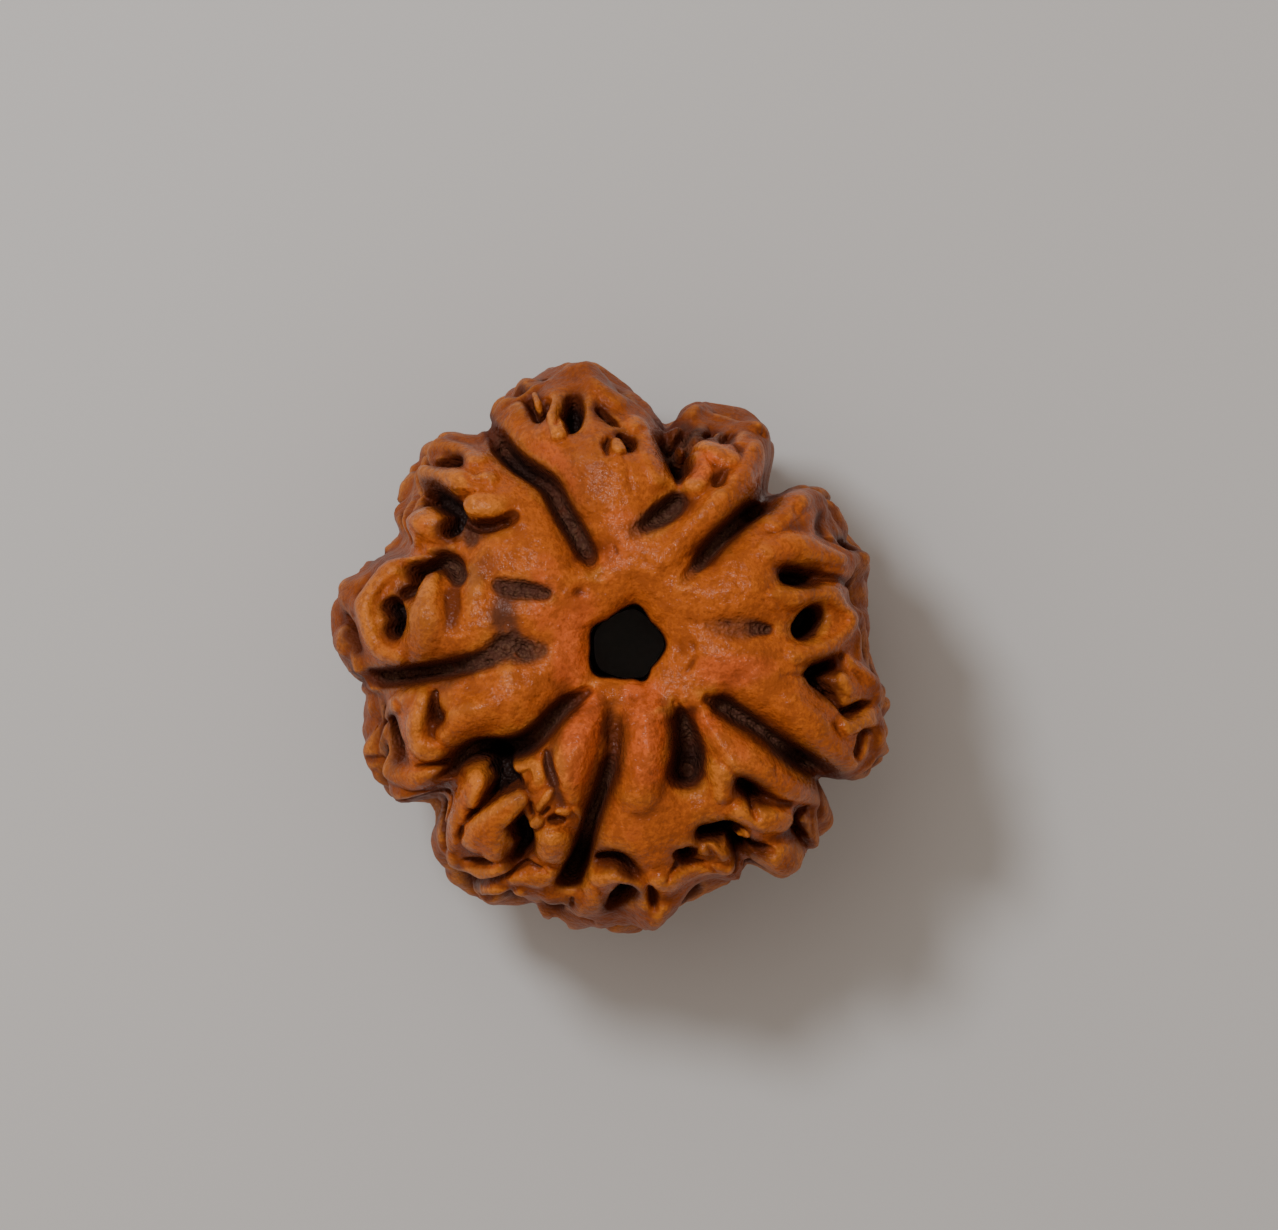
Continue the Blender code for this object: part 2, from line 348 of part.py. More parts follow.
def even_rows(count):
    """Turns of the grid's rows, spaced evenly along the section."""
    fine = np.linspace(0.0, 5.0, 4001)
    points = section(np.zeros_like(fine), fine)
    run = np.concatenate(([0.0], np.cumsum(np.linalg.norm(np.diff(points, axis=0), axis=1))))
    return np.interp(np.arange(count) / count * run[-1], run, fine)


def rounded(path, pieces=4):
    """Catmull-Rom curve through the points of a path, each point carrying its width and depth."""
    knots = np.array(path)
    if len(knots) < 3:
        steps = np.linspace(0.0, 1.0, pieces + 1)[:, None]
        return knots[0] + (knots[-1] - knots[0]) * steps
    ends = np.vstack((2 * knots[0] - knots[1], knots, 2 * knots[-1] - knots[-2]))
    step = np.linspace(0.0, 1.0, pieces, endpoint=False)[:, None]
    spans = [0.5 * (2 * b + (c - a) * step + (2 * a - 5 * b + 4 * c - d) * step ** 2
                    + (3 * b - a - 3 * c + d) * step ** 3)
             for a, b, c, d in zip(ends, ends[1:], ends[2:], ends[3:])]
    return np.vstack(spans + [knots[-1:]])


def laid_on_top(path):
    """A path seen from above, laid on the upper surface as x, y, z, half width, depth."""
    laid = []
    for x, y, half_width, depth in rounded(path):
        azimuth, turn = turn_below(x, y)
        height = float(section(np.array(azimuth), np.array(turn))[2])
        laid.append((x, y, height, half_width, depth))
    return np.array(laid)


def laid_on_flank(azimuths, turns, half_widths, depths):
    """A path given by azimuth and turn, as x, y, z, half width, depth."""
    points = section(np.array(azimuths), np.array(turns))
    return rounded(np.column_stack((points, half_widths, depths)))


class Cells:
    """Points sorted into cubes, so that those inside a box are found without trying them all."""

    def __init__(self, points, size=1.2):
        self.all = points
        self.size = size
        keys = self.key(*np.floor(points / size).astype(np.int64).T)
        self.order = np.argsort(keys, kind="stable")
        self.keys = keys[self.order]

    @staticmethod
    def key(x, y, z):
        """One number for a cube, running up along z first."""
        return ((x + 64) * 128 + y + 64) * 128 + z + 64

    def inside(self, low, high):
        """Indices of the points inside a box."""
        first = np.floor(low / self.size).astype(np.int64)
        last = np.floor(high / self.size).astype(np.int64)
        x, y = np.meshgrid(np.arange(first[0], last[0] + 1), np.arange(first[1], last[1] + 1))
        starts = np.searchsorted(self.keys, self.key(x.ravel(), y.ravel(), first[2]))
        ends = np.searchsorted(self.keys, self.key(x.ravel(), y.ravel(), last[2]), side="right")
        found = np.concatenate([self.order[a:b] for a, b in zip(starts, ends)])
        local = self.all[found]
        return found[((local > low) & (local < high)).all(axis=1)]


def nearest(cells, path, weight, reach):
    """Distance of the points near a path to it: first in half widths, with the half width and depth
    where that is least, then in millimetres, with the depth where that is least.

    Heights count by weight, so a mark on a steep flank is as wide as it looks from above.
    Only points inside the path's box, grown by reach, are measured."""
    low = path[:, :3].min(axis=0) - reach
    high = path[:, :3].max(axis=0) + reach
    low[2] -= reach * (1 / weight - 1)
    high[2] += reach * (1 / weight - 1)
    near = cells.inside(low, high)
    x, y, z = np.ascontiguousarray((cells.all[near] * (1.0, 1.0, weight)).T)
    ratio = np.full(len(near), np.inf)
    distance = np.full(len(near), np.inf)
    width = np.zeros(len(near))
    depth = np.zeros(len(near))
    level = np.zeros(len(near))
    knots = path * (1.0, 1.0, weight, 1.0, 1.0)
    for start, end in zip(knots[:-1], knots[1:]):
        run_x, run_y, run_z, wider, deeper = end - start
        from_x, from_y, from_z = x - start[0], y - start[1], z - start[2]
        length = max(run_x ** 2 + run_y ** 2 + run_z ** 2, 1e-9)
        along = np.clip((from_x * run_x + from_y * run_y + from_z * run_z) / length, 0.0, 1.0)
        gap = np.sqrt((from_x - along * run_x) ** 2 + (from_y - along * run_y) ** 2
                      + (from_z - along * run_z) ** 2)
        wide = start[3] + wider * along
        here = start[4] + deeper * along
        closer = gap / wide < ratio
        ratio = np.where(closer, gap / wide, ratio)
        width = np.where(closer, wide, width)
        depth = np.where(closer, here, depth)
        level = np.where(gap < distance, here, level)
        distance = np.minimum(distance, gap)
    return near, ratio, width, depth, distance, level


def ease(start, end, value):
    """Smooth step from 0 at start to 1 at end."""
    share = np.clip((value - start) / (end - start), 0.0, 1.0)
    return share * share * (3.0 - 2.0 * share)


def pit_form(ratio):
    """Cross-section of a pit: a floor, steep walls and a softly rounded rim."""
    return 0.86 * (1.0 - ease(0.58, 1.25, ratio)) + 0.14 * np.exp(-(ratio / 1.8) ** 2)


def finger_fall(ratio, width, steepness):
    """How far a finger or knob has fallen from its crest: round on top, steep past its half width."""
    return width * (0.9 - 0.9 * np.sqrt(1.0 - 0.95 * np.clip(ratio, 0.0, 1.0) ** 2)
                    + steepness * np.clip(ratio - 1.0, 0.0, None))


def swell(points, size, seed):
    """Smooth noise between -1 and 1 from a seeded lattice, blended over cells of the given size."""
    lattice = np.random.default_rng(seed).uniform(-1.0, 1.0, (32, 32, 32))
    spot = points / size + 100.0
    cell = np.floor(spot).astype(int)
    share = spot - cell
    share = share ** 3 * (share * (share * 6.0 - 15.0) + 10.0)
    total = np.zeros(len(points))
    for corner in range(8):
        step = np.array((corner & 1, corner >> 1 & 1, corner >> 2 & 1))
        index = (cell + step) % 32
        part = np.where(step, share, 1.0 - share).prod(axis=1)
        total += part * lattice[index[:, 0], index[:, 1], index[:, 2]]
    return total


def cleft_paths():
    """The ten clefts: over the top as traced, then down the flank to the bore's lower mouth."""
    draw = np.random.default_rng(SEED)
    paths = []
    for path, waist_depth in CLEFTS:
        paths.append(laid_on_top(path))
        x, y, half_width, depth = path[-1]
        azimuth, turn = turn_below(x, y)
        start = max(turn, 1.96) if waist_depth < 0.5 else turn
        turns = np.array((start, 2.0, 2.2, 2.45, 2.7, 2.95, 3.2, 3.45, 3.7))
        sway = np.cumsum(draw.uniform(-0.05, 0.05, len(turns)))
        sway[:2] = 0.0
        first_width = min(half_width, 0.36)
        widths = np.array((first_width, 0.34, 0.34, 0.38, 0.40, 0.40, 0.36, 0.30, 0.20))
        widths[2:] *= draw.uniform(0.75, 1.3, len(widths) - 2)
        depths = np.array((min(depth, waist_depth), waist_depth, 1.3, 1.5, 1.6, 1.5, 1.2, 0.9, 0.3))
        paths.append(laid_on_flank(azimuth + sway, turns, widths, depths))
    return paths


class Placed:
    """Round marks placed so far, each as x, y, z and radius."""

    def __init__(self, rows):
        self.rows = np.array(rows)

    def add(self, rows):
        """Takes in more marks."""
        self.rows = np.vstack((self.rows, rows))

    def clear(self, rows, gap):
        """Whether all of some new marks keep their gap to those already placed."""
        apart = np.linalg.norm(self.rows[:, None, :3] - rows[None, :, :3], axis=2)
        return bool((apart > self.rows[:, None, 3] + rows[None, :, 3] + gap).all())


def flank_marks(paths, traced):
    """Short pits and round knobs thrown at random on the flank and the underside, each kept only
    where it stays clear of the clefts, of the traced pits and of the marks placed before it."""
    draw = np.random.default_rng(SEED + 1)
    placed = Placed(np.vstack(paths + traced)[:, :4])
    pits = []
    for _ in range(FLANK_PITS * 12):
        if len(pits) >= FLANK_PITS:
            break
        azimuth = draw.uniform(0.0, 2 * math.pi)
        turn = draw.uniform(FLANK_TOP_TURN, 3.55)
        length = draw.uniform(0.6, 2.4)
        heading = draw.normal(math.pi / 2, 0.7)
        half_width = 0.28 + 0.32 * draw.random() ** 2
        depth = draw.uniform(0.8, 1.7) * (1.0 if turn < 2.75 else 0.75)
        bend = draw.uniform(-0.5, 0.5)
        spot = section(np.array(azimuth), np.array(turn))
        radius = max(math.hypot(spot[0] - BORE_MIDDLE[0], spot[1] - BORE_MIDDLE[1]), 2.0)
        steps = np.linspace(-0.5, 0.5, 3)
        across = (steps * math.cos(heading) + bend * (steps ** 2)) * length / radius
        down = steps * math.sin(heading) * length / 8.5
        path = laid_on_flank(azimuth + across, np.maximum(turn + down, FLANK_TOP_TURN),
                             half_width * np.array((0.7, 1.0, 0.8)), depth * np.array((0.7, 1.0, 0.8)))
        if placed.clear(path[::3, :4], 0.75):
            pits.append(path)
            placed.add(path[::2, :4])
    knobs = []
    for _ in range(FLANK_KNOBS):
        azimuth = draw.uniform(0.0, 2 * math.pi)
        turn = draw.uniform(FLANK_TOP_TURN + 0.1, 3.5)
        half_width = draw.uniform(0.7, 1.25)
        spot = section(np.array((azimuth, azimuth)), np.array((turn, turn + 0.03)))
        row = np.array([(*spot[0], half_width * 0.5)])
        if placed.clear(row, 0.1):
            height = draw.uniform(0.25, 0.5)
            knobs.append(np.column_stack((spot, (half_width, half_width), (height, height))))
            placed.add(row)
    return pits, knobs


def bulges(points, size, seed):
    """Rounded bulges parted by tight creases: the size of a smooth noise, softened where it is zero."""
    bend = np.stack([swell(points, size * 1.6, seed + k) for k in (1, 2, 3)], axis=-1) * size * 0.35
    return np.sqrt(swell(points + bend, size, seed) ** 2 + 0.008) - 0.27


def lifted(normal):
    """The directions in which the relief moves: the normals, turned upward where they face up."""
    turned = normal + (0.0, 0.0, 1.0) * (LIFT * ease(0.05, 0.6, normal[..., 2:]))
    return turned / np.linalg.norm(turned, axis=-1, keepdims=True)


def raised_by(fingers, cells, base, steepness, blend):
    """The base with rounded bodies standing on it; where they overlap the highest shows."""
    top = np.full(len(base), -9.0)
    for path in fingers:
        near, ratio, width, crest, _, _ = nearest(cells, path, 0.75, 1.4)
        top[near] = np.maximum(top[near], crest - finger_fall(ratio, width, steepness))
    return 0.5 * (base + top + np.sqrt((base - top) ** 2 + blend ** 2))


def relief(points):
    """How far each point of the plain bead moves outward.

    Fingers and knobs stand on the base, pits sink both, tongues reach over the pits, and the
    clefts cut everything."""
    paths = cleft_paths()
    top_pits = [laid_on_top(path) for path in PITS]
    pits, knobs = flank_marks(paths, top_pits)
    cells = Cells(points)
    on_flank = 1.0 - ease(BEAD_HEIGHT * 0.70, BEAD_HEIGHT * 0.93, points[:, 2])
    out = ease(5.0, 7.5, np.hypot(points[:, 0] - BORE_MIDDLE[0], points[:, 1] - BORE_MIDDLE[1]))
    base = -BASE_DROP * out * (1.0 - on_flank)
    move = raised_by([laid_on_top(path) for path in FINGERS] + knobs, cells, base,
                     FINGER_SLOPE, FINGER_BLEND)
    hole = np.zeros(len(points))
    roll = np.zeros(len(points))
    for path, weight in [(path, TILT_WEIGHT) for path in top_pits] + [(path, 1.0) for path in pits]:
        near, ratio, _, depth, distance, level = nearest(cells, path, weight, 1.8)
        hole[near] += (depth * pit_form(ratio)) ** PIT_BLEND
        fall = PIT_ROLL_DEPTH * np.clip(level, 0.0, 1.0) * np.exp(-(distance / PIT_ROLL_REACH) ** 2)
        roll[near] = np.maximum(roll[near], fall)
    move -= hole ** (1 / PIT_BLEND) + roll
    move = raised_by([laid_on_top(path) for path in TONGUES], cells, move,
                     TONGUE_SLOPE, TONGUE_BLEND)
    cut = np.zeros(len(points))
    shoulder = np.zeros(len(points))
    for path in paths:
        near, ratio, _, depth, distance, level = nearest(cells, path, 0.75, 2.7)
        cut[near] += (depth * pit_form(ratio)) ** PIT_BLEND
        fall = SHOULDER_DEPTH * np.clip(level, 0.0, 1.0) * np.exp(-(distance / SHOULDER_REACH) ** 2)
        shoulder[near] = np.maximum(shoulder[near], fall)
    move -= cut ** (1 / PIT_BLEND) + shoulder
    roughness = BULGE_ON_TOP + (1.0 - BULGE_ON_TOP) * on_flank
    move += SWELL_HEIGHT * swell(points, SWELL_SIZE, SEED + 2)
    move += BULGE_HEIGHT * roughness * bulges(points, BULGE_SIZE, SEED + 3)
    return move


def held_to_outline(points):
    """Moves the flank in or out so that the bead's outline from above is the traced one.

    The widest radius is measured in each degree round the bore, and the points that come near it
    move by what it lacks, the widest ones fully and those at half the width not at all."""
    middle = np.array(BORE_MIDDLE)
    for _ in range(3):
        offset = points[..., :2] - middle
        radius = np.hypot(offset[..., 0], offset[..., 1])
        degrees = np.degrees(np.arctan2(offset[..., 1], offset[..., 0])) % 360.0
        widest = np.zeros(360)
        np.maximum.at(widest, degrees.astype(int).ravel() % 360, radius.ravel())
        now = np.interp(degrees, np.arange(360) + 0.5, widest, period=360.0)
        lack = look_up(OUTLINE_TABLE, np.radians(degrees)) - now
        share = (radius - CROWN_RADIUS) / (now - CROWN_RADIUS)
        grow = 1.0 + lack / radius * ease(0.5, 1.0, share)
        points = np.concatenate((middle + offset * grow[..., None], points[..., 2:]), axis=-1)
    return points


def grid_points():
    """Vertices of the bead in millimetres as a grid of rows along the section and columns round it.

    The lowest knobs are worn flat at one level, which the bead rests on."""
    azimuth, turn = np.meshgrid(np.arange(COLUMNS) / COLUMNS * 2 * math.pi, even_rows(ROWS))
    plain = section(azimuth, turn)
    across = np.roll(plain, -1, axis=1) - np.roll(plain, 1, axis=1)
    along = np.roll(plain, -1, axis=0) - np.roll(plain, 1, axis=0)
    normal = np.cross(along, across)
    normal /= np.linalg.norm(normal, axis=-1, keepdims=True)
    in_bore = ease(0.0, 0.35, turn) * (1.0 - ease(3.75, 4.0, turn))
    move = relief(plain.reshape(-1, 3)).reshape(ROWS, COLUMNS)
    move = move * (0.12 + 0.88 * in_bore)
    shaped = held_to_outline(plain + lifted(normal) * move[..., None])
    shaped[..., 2] = np.maximum(shaped[..., 2], shaped[..., 2].min() + REST_CUT)
    return shaped


def bead_mesh(points):
    """Closed quad grid of the bead, in metres."""
    rows, columns = points.shape[:2]
    vertices = points.reshape(-1, 3)
    index = np.arange(rows * columns).reshape(rows, columns)
    right = np.roll(index, -1, axis=1)
    faces = np.stack((index, np.roll(index, -1, axis=0), np.roll(right, -1, axis=0), right), axis=-1)
    mesh = bpy.data.meshes.new("rudraksha_bead")
    mesh.from_pydata((vertices * MM).tolist(), [], faces.reshape(-1, 4).tolist())
    mesh.shade_smooth()
    return mesh


def thinned(bead):
    """The bead's mesh with fewer faces, most of them left where the surface bends most."""
    thin = bead.modifiers.new("fewer faces", "DECIMATE")
    thin.decimate_type = "COLLAPSE"
    thin.ratio = TRIANGLES / (2 * ROWS * COLUMNS)
    bpy.context.view_layer.update()
    evaluated = bead.evaluated_get(bpy.context.evaluated_depsgraph_get())
    mesh = bpy.data.meshes.new_from_object(evaluated)
    bead.modifiers.remove(thin)
    return mesh


def seat(mesh):
    """Puts the middle of the bead's box over the origin and its worn spots flat at level zero."""
    vertices = np.empty(len(mesh.vertices) * 3)
    mesh.vertices.foreach_get("co", vertices)
    vertices = vertices.reshape(-1, 3)
    middle = (vertices.max(axis=0) + vertices.min(axis=0)) / 2
    level = vertices[:, 2].min() + REST_SNAP * MM
    vertices -= (middle[0], middle[1], level)
    vertices[:, 2] = np.where(vertices[:, 2] < REST_SNAP * MM, 0.0, vertices[:, 2])
    mesh.vertices.foreach_set("co", vertices.ravel())
    mesh.update()


def bead_material():
    """Oiled brown woody stone."""
    material = bpy.data.materials.new("bead")
    material.use_nodes = True
    shader = material.node_tree.nodes["Principled BSDF"]
    shader.inputs["Base Color"].default_value = (0.42, 0.15, 0.03, 1.0)
    shader.inputs["Roughness"].default_value = 0.4
    shader.inputs["Metallic"].default_value = 0.0
    return material


def build():
    """Makes the bead as one object."""
    for old in list(bpy.data.objects):
        bpy.data.objects.remove(old)
    mesh = bead_mesh(grid_points())
    mesh.materials.append(bead_material())
    bead = bpy.data.objects.new("rudraksha_bead", mesh)
    bpy.context.scene.collection.objects.link(bead)
    bead.data = thinned(bead)
    seat(bead.data)
    bpy.data.meshes.remove(mesh)


build()
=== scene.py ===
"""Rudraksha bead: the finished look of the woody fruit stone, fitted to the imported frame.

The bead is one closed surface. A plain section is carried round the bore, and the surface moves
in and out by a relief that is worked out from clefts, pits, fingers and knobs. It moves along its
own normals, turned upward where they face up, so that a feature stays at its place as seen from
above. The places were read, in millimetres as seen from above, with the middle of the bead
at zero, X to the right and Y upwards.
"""

import math

import bpy
import numpy as np
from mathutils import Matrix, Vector


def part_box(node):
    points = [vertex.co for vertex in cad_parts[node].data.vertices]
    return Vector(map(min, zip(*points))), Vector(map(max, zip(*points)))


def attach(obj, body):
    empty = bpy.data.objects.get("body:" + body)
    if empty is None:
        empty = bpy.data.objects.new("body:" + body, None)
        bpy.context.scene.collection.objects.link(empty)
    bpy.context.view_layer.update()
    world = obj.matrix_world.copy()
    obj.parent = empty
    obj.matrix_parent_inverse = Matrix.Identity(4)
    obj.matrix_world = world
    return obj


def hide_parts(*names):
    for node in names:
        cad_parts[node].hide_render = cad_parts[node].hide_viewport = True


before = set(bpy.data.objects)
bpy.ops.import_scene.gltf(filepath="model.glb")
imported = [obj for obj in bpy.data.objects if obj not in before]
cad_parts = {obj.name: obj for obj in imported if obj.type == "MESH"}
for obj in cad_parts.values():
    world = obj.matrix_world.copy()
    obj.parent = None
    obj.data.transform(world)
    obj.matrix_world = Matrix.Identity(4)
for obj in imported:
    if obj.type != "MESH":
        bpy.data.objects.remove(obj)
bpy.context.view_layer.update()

BEAD_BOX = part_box("rudraksha_bead")

bl_info = {
    "name": "Rudraksha bead",
    "version": (1, 0, 0),
    "blender": (4, 5, 0),
    "location": "3D View > Sidebar > Bead",
    "description": "Builds a rudraksha bead with its clefts, pits, knobs and oiled finish",
    "category": "Add Mesh",
}

MM = 0.001

# The plain bead, in millimetres
BEAD_HEIGHT = 19.4
BORE_MIDDLE = (0.85, 0.05)
BORE_RADIUS_BELOW = 1.5
CROWN_RADIUS = 4.6
FUNNEL_DROP = 1.7
SECTION_POWER = 0.86
REST_CUT = 0.50

# Rows of a table that gives a radius for each half degree round the bore
TABLE_ROWS = 720
TABLE_STEP = 0.5

# The relief, in millimetres
LIFT = 1.5
TONGUE_SLOPE = 6.0
TONGUE_BLEND = 0.10
FINGER_SLOPE = 1.6
CREST_GAIN = 1.3
HEIGHT_WEIGHT = 0.75
TILT_WEIGHT = 0.5
PIT_BLEND = 5.0
SHOULDER_DEPTH = 0.80
SHOULDER_REACH = 1.20
SWELL_SIZE = 2.8
SWELL_HEIGHT = 0.22
BULGE_SIZE = 2.1
BULGE_HEIGHT = 0.90
BULGE_ON_TOP = 0.16
BASE_DROP = 0.24
FINGER_BLEND = 0.18
PIT_ROLL_DEPTH = 0.38
PIT_ROLL_REACH = 0.80
FLANK_PITS = 150
FLANK_KNOBS = 260
FLANK_TOP_TURN = 1.76
FLANK_TURN_LENGTH = 8.5
FINE_MARKS = 90
DEEPEST_HOLLOW = 1.5
BORE_RELIEF = 0.12
OUTLINE_PASSES = (0.6, 0.2, 0.1)
WIDE_RIPPLE = 1.3
NARROW_RIPPLE = 0.62
CRUMB_SIZE = 0.36
SEED = 31

# Crest and lowness: grid steps to each side that they are measured against, and their gain
CREST_STEPS = 5
CREST_CONTRAST = 2.2
LOWNESS_STEPS = 13
LOWNESS_CONTRAST = 1.6

# Sizes of the noises in the skin's colour and bumps, in millimetres
BROAD_CLOUD = 3.2
MIDDLING_CLOUD = 0.9
SMALL_CLOUD = 0.22
GRAIN_SIZE = 0.19
DIMPLE_SIZE = 0.4
FIBRE_SIZE = 0.16

# Numbers that each vertex of the bead carries for its colour
FIELDS = ("hollow", "crust", "crest", "stain_and_shade", "glow", "flank", "bore", "shade_beside_hollows", "lowness")

# Width of the picture plane inside the camera, in millimetres
SENSOR = 36.0

# Outermost points of the lobes seen from above, x and y, anticlockwise from the right
OUTLINE = (
    (11.20, 0.45), (11.25, 1.30), (11.14, 2.30), (11.20, 3.00), (11.33, 3.67), (11.10, 4.25),
    (10.50, 4.68), (10.33, 5.20), (9.98, 5.80), (9.78, 6.43), (9.20, 7.08), (8.68, 7.22),
    (8.20, 7.25), (7.67, 8.12), (7.30, 8.85), (6.76, 9.47), (6.31, 10.18), (5.41, 10.49),
    (4.68, 10.49), (4.00, 10.72), (3.30, 10.62), (2.60, 10.50), (1.78, 10.43), (1.16, 11.00),
    (0.54, 11.64), (-0.25, 12.21), (-1.10, 12.46), (-1.83, 12.29), (-2.56, 12.07),
    (-3.24, 11.78), (-3.86, 11.36), (-4.50, 11.05), (-5.07, 10.49), (-5.51, 9.92),
    (-6.20, 9.44), (-6.87, 9.39), (-7.61, 9.08), (-8.20, 8.74), (-8.44, 8.20), (-8.79, 7.39),
    (-9.24, 6.43), (-9.33, 5.90), (-9.50, 5.00), (-9.90, 4.06), (-10.43, 3.61),
    (-10.99, 3.22), (-11.40, 2.93), (-11.92, 2.09), (-12.02, 1.64), (-11.92, 1.19),
    (-12.02, 0.60), (-11.80, -0.15), (-11.41, -0.68), (-11.19, -1.20), (-10.95, -1.92),
    (-10.60, -2.50), (-10.57, -3.38), (-10.66, -3.90), (-10.45, -5.07), (-9.86, -5.97),
    (-9.35, -6.48), (-8.56, -6.86), (-8.20, -7.40), (-7.80, -8.00), (-7.49, -9.08),
    (-7.04, -10.03), (-6.03, -10.74), (-5.12, -11.19), (-4.50, -11.15), (-3.60, -11.10),
    (-2.87, -11.33), (-2.23, -11.98), (-1.04, -12.11), (-0.25, -12.14), (0.65, -12.46),
    (1.30, -12.48), (2.12, -12.04), (2.85, -11.39), (3.58, -10.88), (4.51, -10.57),
    (5.20, -10.20), (6.00, -10.12), (6.82, -10.09), (7.72, -10.01), (8.40, -9.25),
    (8.96, -8.34), (9.70, -7.72), (10.15, -6.99), (10.30, -6.30), (10.77, -5.72),
    (11.56, -5.41), (11.98, -4.73), (12.07, -3.90), (11.95, -3.16), (12.26, -2.31),
    (11.78, -1.58), (11.45, -0.85), (11.15, -0.11),
)

# Notches that the clefts cut into that outline: x, y, half width, depth
NOTCHES = (
    (-5.38, 8.96, 0.45, 0.85), (2.51, 9.87, 0.55, 0.85), (6.85, 6.65, 0.60, 1.35),
    (9.27, -5.86, 0.55, 1.45), (5.92, -9.16, 0.50, 1.00), (-7.70, -7.00, 0.50, 0.90),
    (-10.75, -2.00, 0.40, 0.40), (-9.02, 4.73, 0.50, 0.60),
)

# Rim of the bore seen from above
BORE_RIM = (
    (2.48, 0.10), (2.17, 0.73), (1.78, 1.07), (1.50, 1.58), (1.20, 1.90), (0.80, 1.75),
    (0.35, 1.50), (-0.03, 1.19), (-0.70, 0.88), (-0.72, 0.00), (-0.76, -0.68), (-0.60, -1.13),
    (0.20, -1.20), (1.05, -1.24), (1.55, -1.45), (1.78, -0.79), (2.17, -0.39),
)

# Clefts between the lobes, from the bore outward: x, y, half width, depth.
# Each entry ends with its depth where it crosses the widest level of the bead.
CLEFTS = (
    (((-0.60, 3.05, 0.16, 0.15), (-0.72, 3.60, 0.30, 0.70), (-0.95, 4.10, 0.36, 1.10),
      (-1.35, 4.85, 0.40, 1.35), (-1.75, 5.50, 0.40, 1.45), (-2.10, 6.15, 0.40, 1.55),
      (-2.60, 7.05, 0.40, 1.70), (-3.25, 7.60, 0.38, 1.80), (-3.90, 8.05, 0.38, 1.90),
      (-4.50, 8.60, 0.38, 1.90), (-4.95, 9.15, 0.38, 1.70)), 1.00),
    (((3.05, 7.00, 0.16, 0.30), (3.05, 7.60, 0.22, 0.80), (2.92, 8.20, 0.25, 1.00),
      (2.72, 8.90, 0.25, 1.10), (2.60, 9.50, 0.28, 1.20)), 1.05),
    (((3.20, 2.80, 0.22, 0.15), (3.60, 3.30, 0.28, 0.55), (4.05, 3.80, 0.33, 0.95),
      (4.60, 4.45, 0.34, 1.20), (5.20, 5.05, 0.33, 1.40), (5.80, 5.60, 0.34, 1.60),
      (6.35, 6.05, 0.36, 1.80), (6.85, 6.35, 0.34, 1.80)), 1.60),
    (((4.00, 0.90, 0.45, 0.12), (5.00, 0.88, 0.50, 0.35), (6.00, 0.85, 0.45, 0.45),
      (6.85, 0.80, 0.22, 0.50)), 0.45),
    (((4.20, -2.15, 0.26, 0.60), (4.90, -2.45, 0.36, 1.15), (5.50, -2.85, 0.36, 1.30),
      (6.15, -3.25, 0.30, 1.30), (6.80, -3.70, 0.27, 1.30), (7.40, -4.15, 0.28, 1.40),
      (8.00, -4.60, 0.34, 1.60), (8.60, -5.00, 0.40, 1.80), (9.20, -5.40, 0.36, 1.70)), 1.55),
    (((2.80, -2.30, 0.20, 0.40), (3.05, -2.90, 0.28, 1.10), (3.28, -3.70, 0.48, 1.60),
      (3.42, -4.60, 0.68, 1.80), (3.38, -5.25, 0.72, 1.80)), 1.15),
    (((0.28, -2.40, 0.34, 0.22), (0.30, -3.30, 0.42, 0.50), (0.22, -4.40, 0.38, 0.75),
      (-0.08, -5.50, 0.32, 1.15), (-0.50, -6.70, 0.32, 1.30), (-0.85, -7.80, 0.33, 1.55),
      (-1.15, -8.80, 0.38, 1.80), (-1.42, -9.60, 0.42, 1.90), (-1.78, -10.30, 0.48, 1.70)), 0.45),
    (((-0.80, -1.70, 0.22, 0.50), (-1.35, -2.10, 0.30, 0.90), (-1.85, -2.50, 0.34, 1.10),
      (-2.35, -3.00, 0.38, 1.30), (-2.85, -3.55, 0.42, 1.60), (-3.50, -4.05, 0.46, 1.80),
      (-4.30, -4.35, 0.48, 1.90), (-5.10, -4.40, 0.48, 1.90), (-5.90, -4.50, 0.42, 1.80),
      (-6.60, -4.90, 0.30, 1.40), (-6.90, -5.40, 0.22, 0.90)), 1.00),
    (((-3.00, -0.10, 0.45, 0.30), (-3.60, -0.10, 0.58, 0.50), (-4.30, 0.00, 0.62, 0.60),
      (-5.00, -0.35, 0.52, 0.70), (-5.70, -0.60, 0.38, 0.90), (-6.40, -0.80, 0.34, 1.20),
      (-7.20, -0.97, 0.34, 1.50), (-8.10, -1.12, 0.34, 1.70), (-9.00, -1.28, 0.34, 1.70),
      (-9.80, -1.38, 0.36, 1.50), (-10.40, -1.45, 0.38, 1.10)), 0.55),
    (((-6.50, 3.15, 0.42, 0.80), (-6.85, 3.60, 0.40, 1.10), (-7.35, 3.85, 0.32, 1.20),
      (-7.90, 3.60, 0.30, 1.30), (-8.35, 3.45, 0.30, 1.30)), 0.75),
)

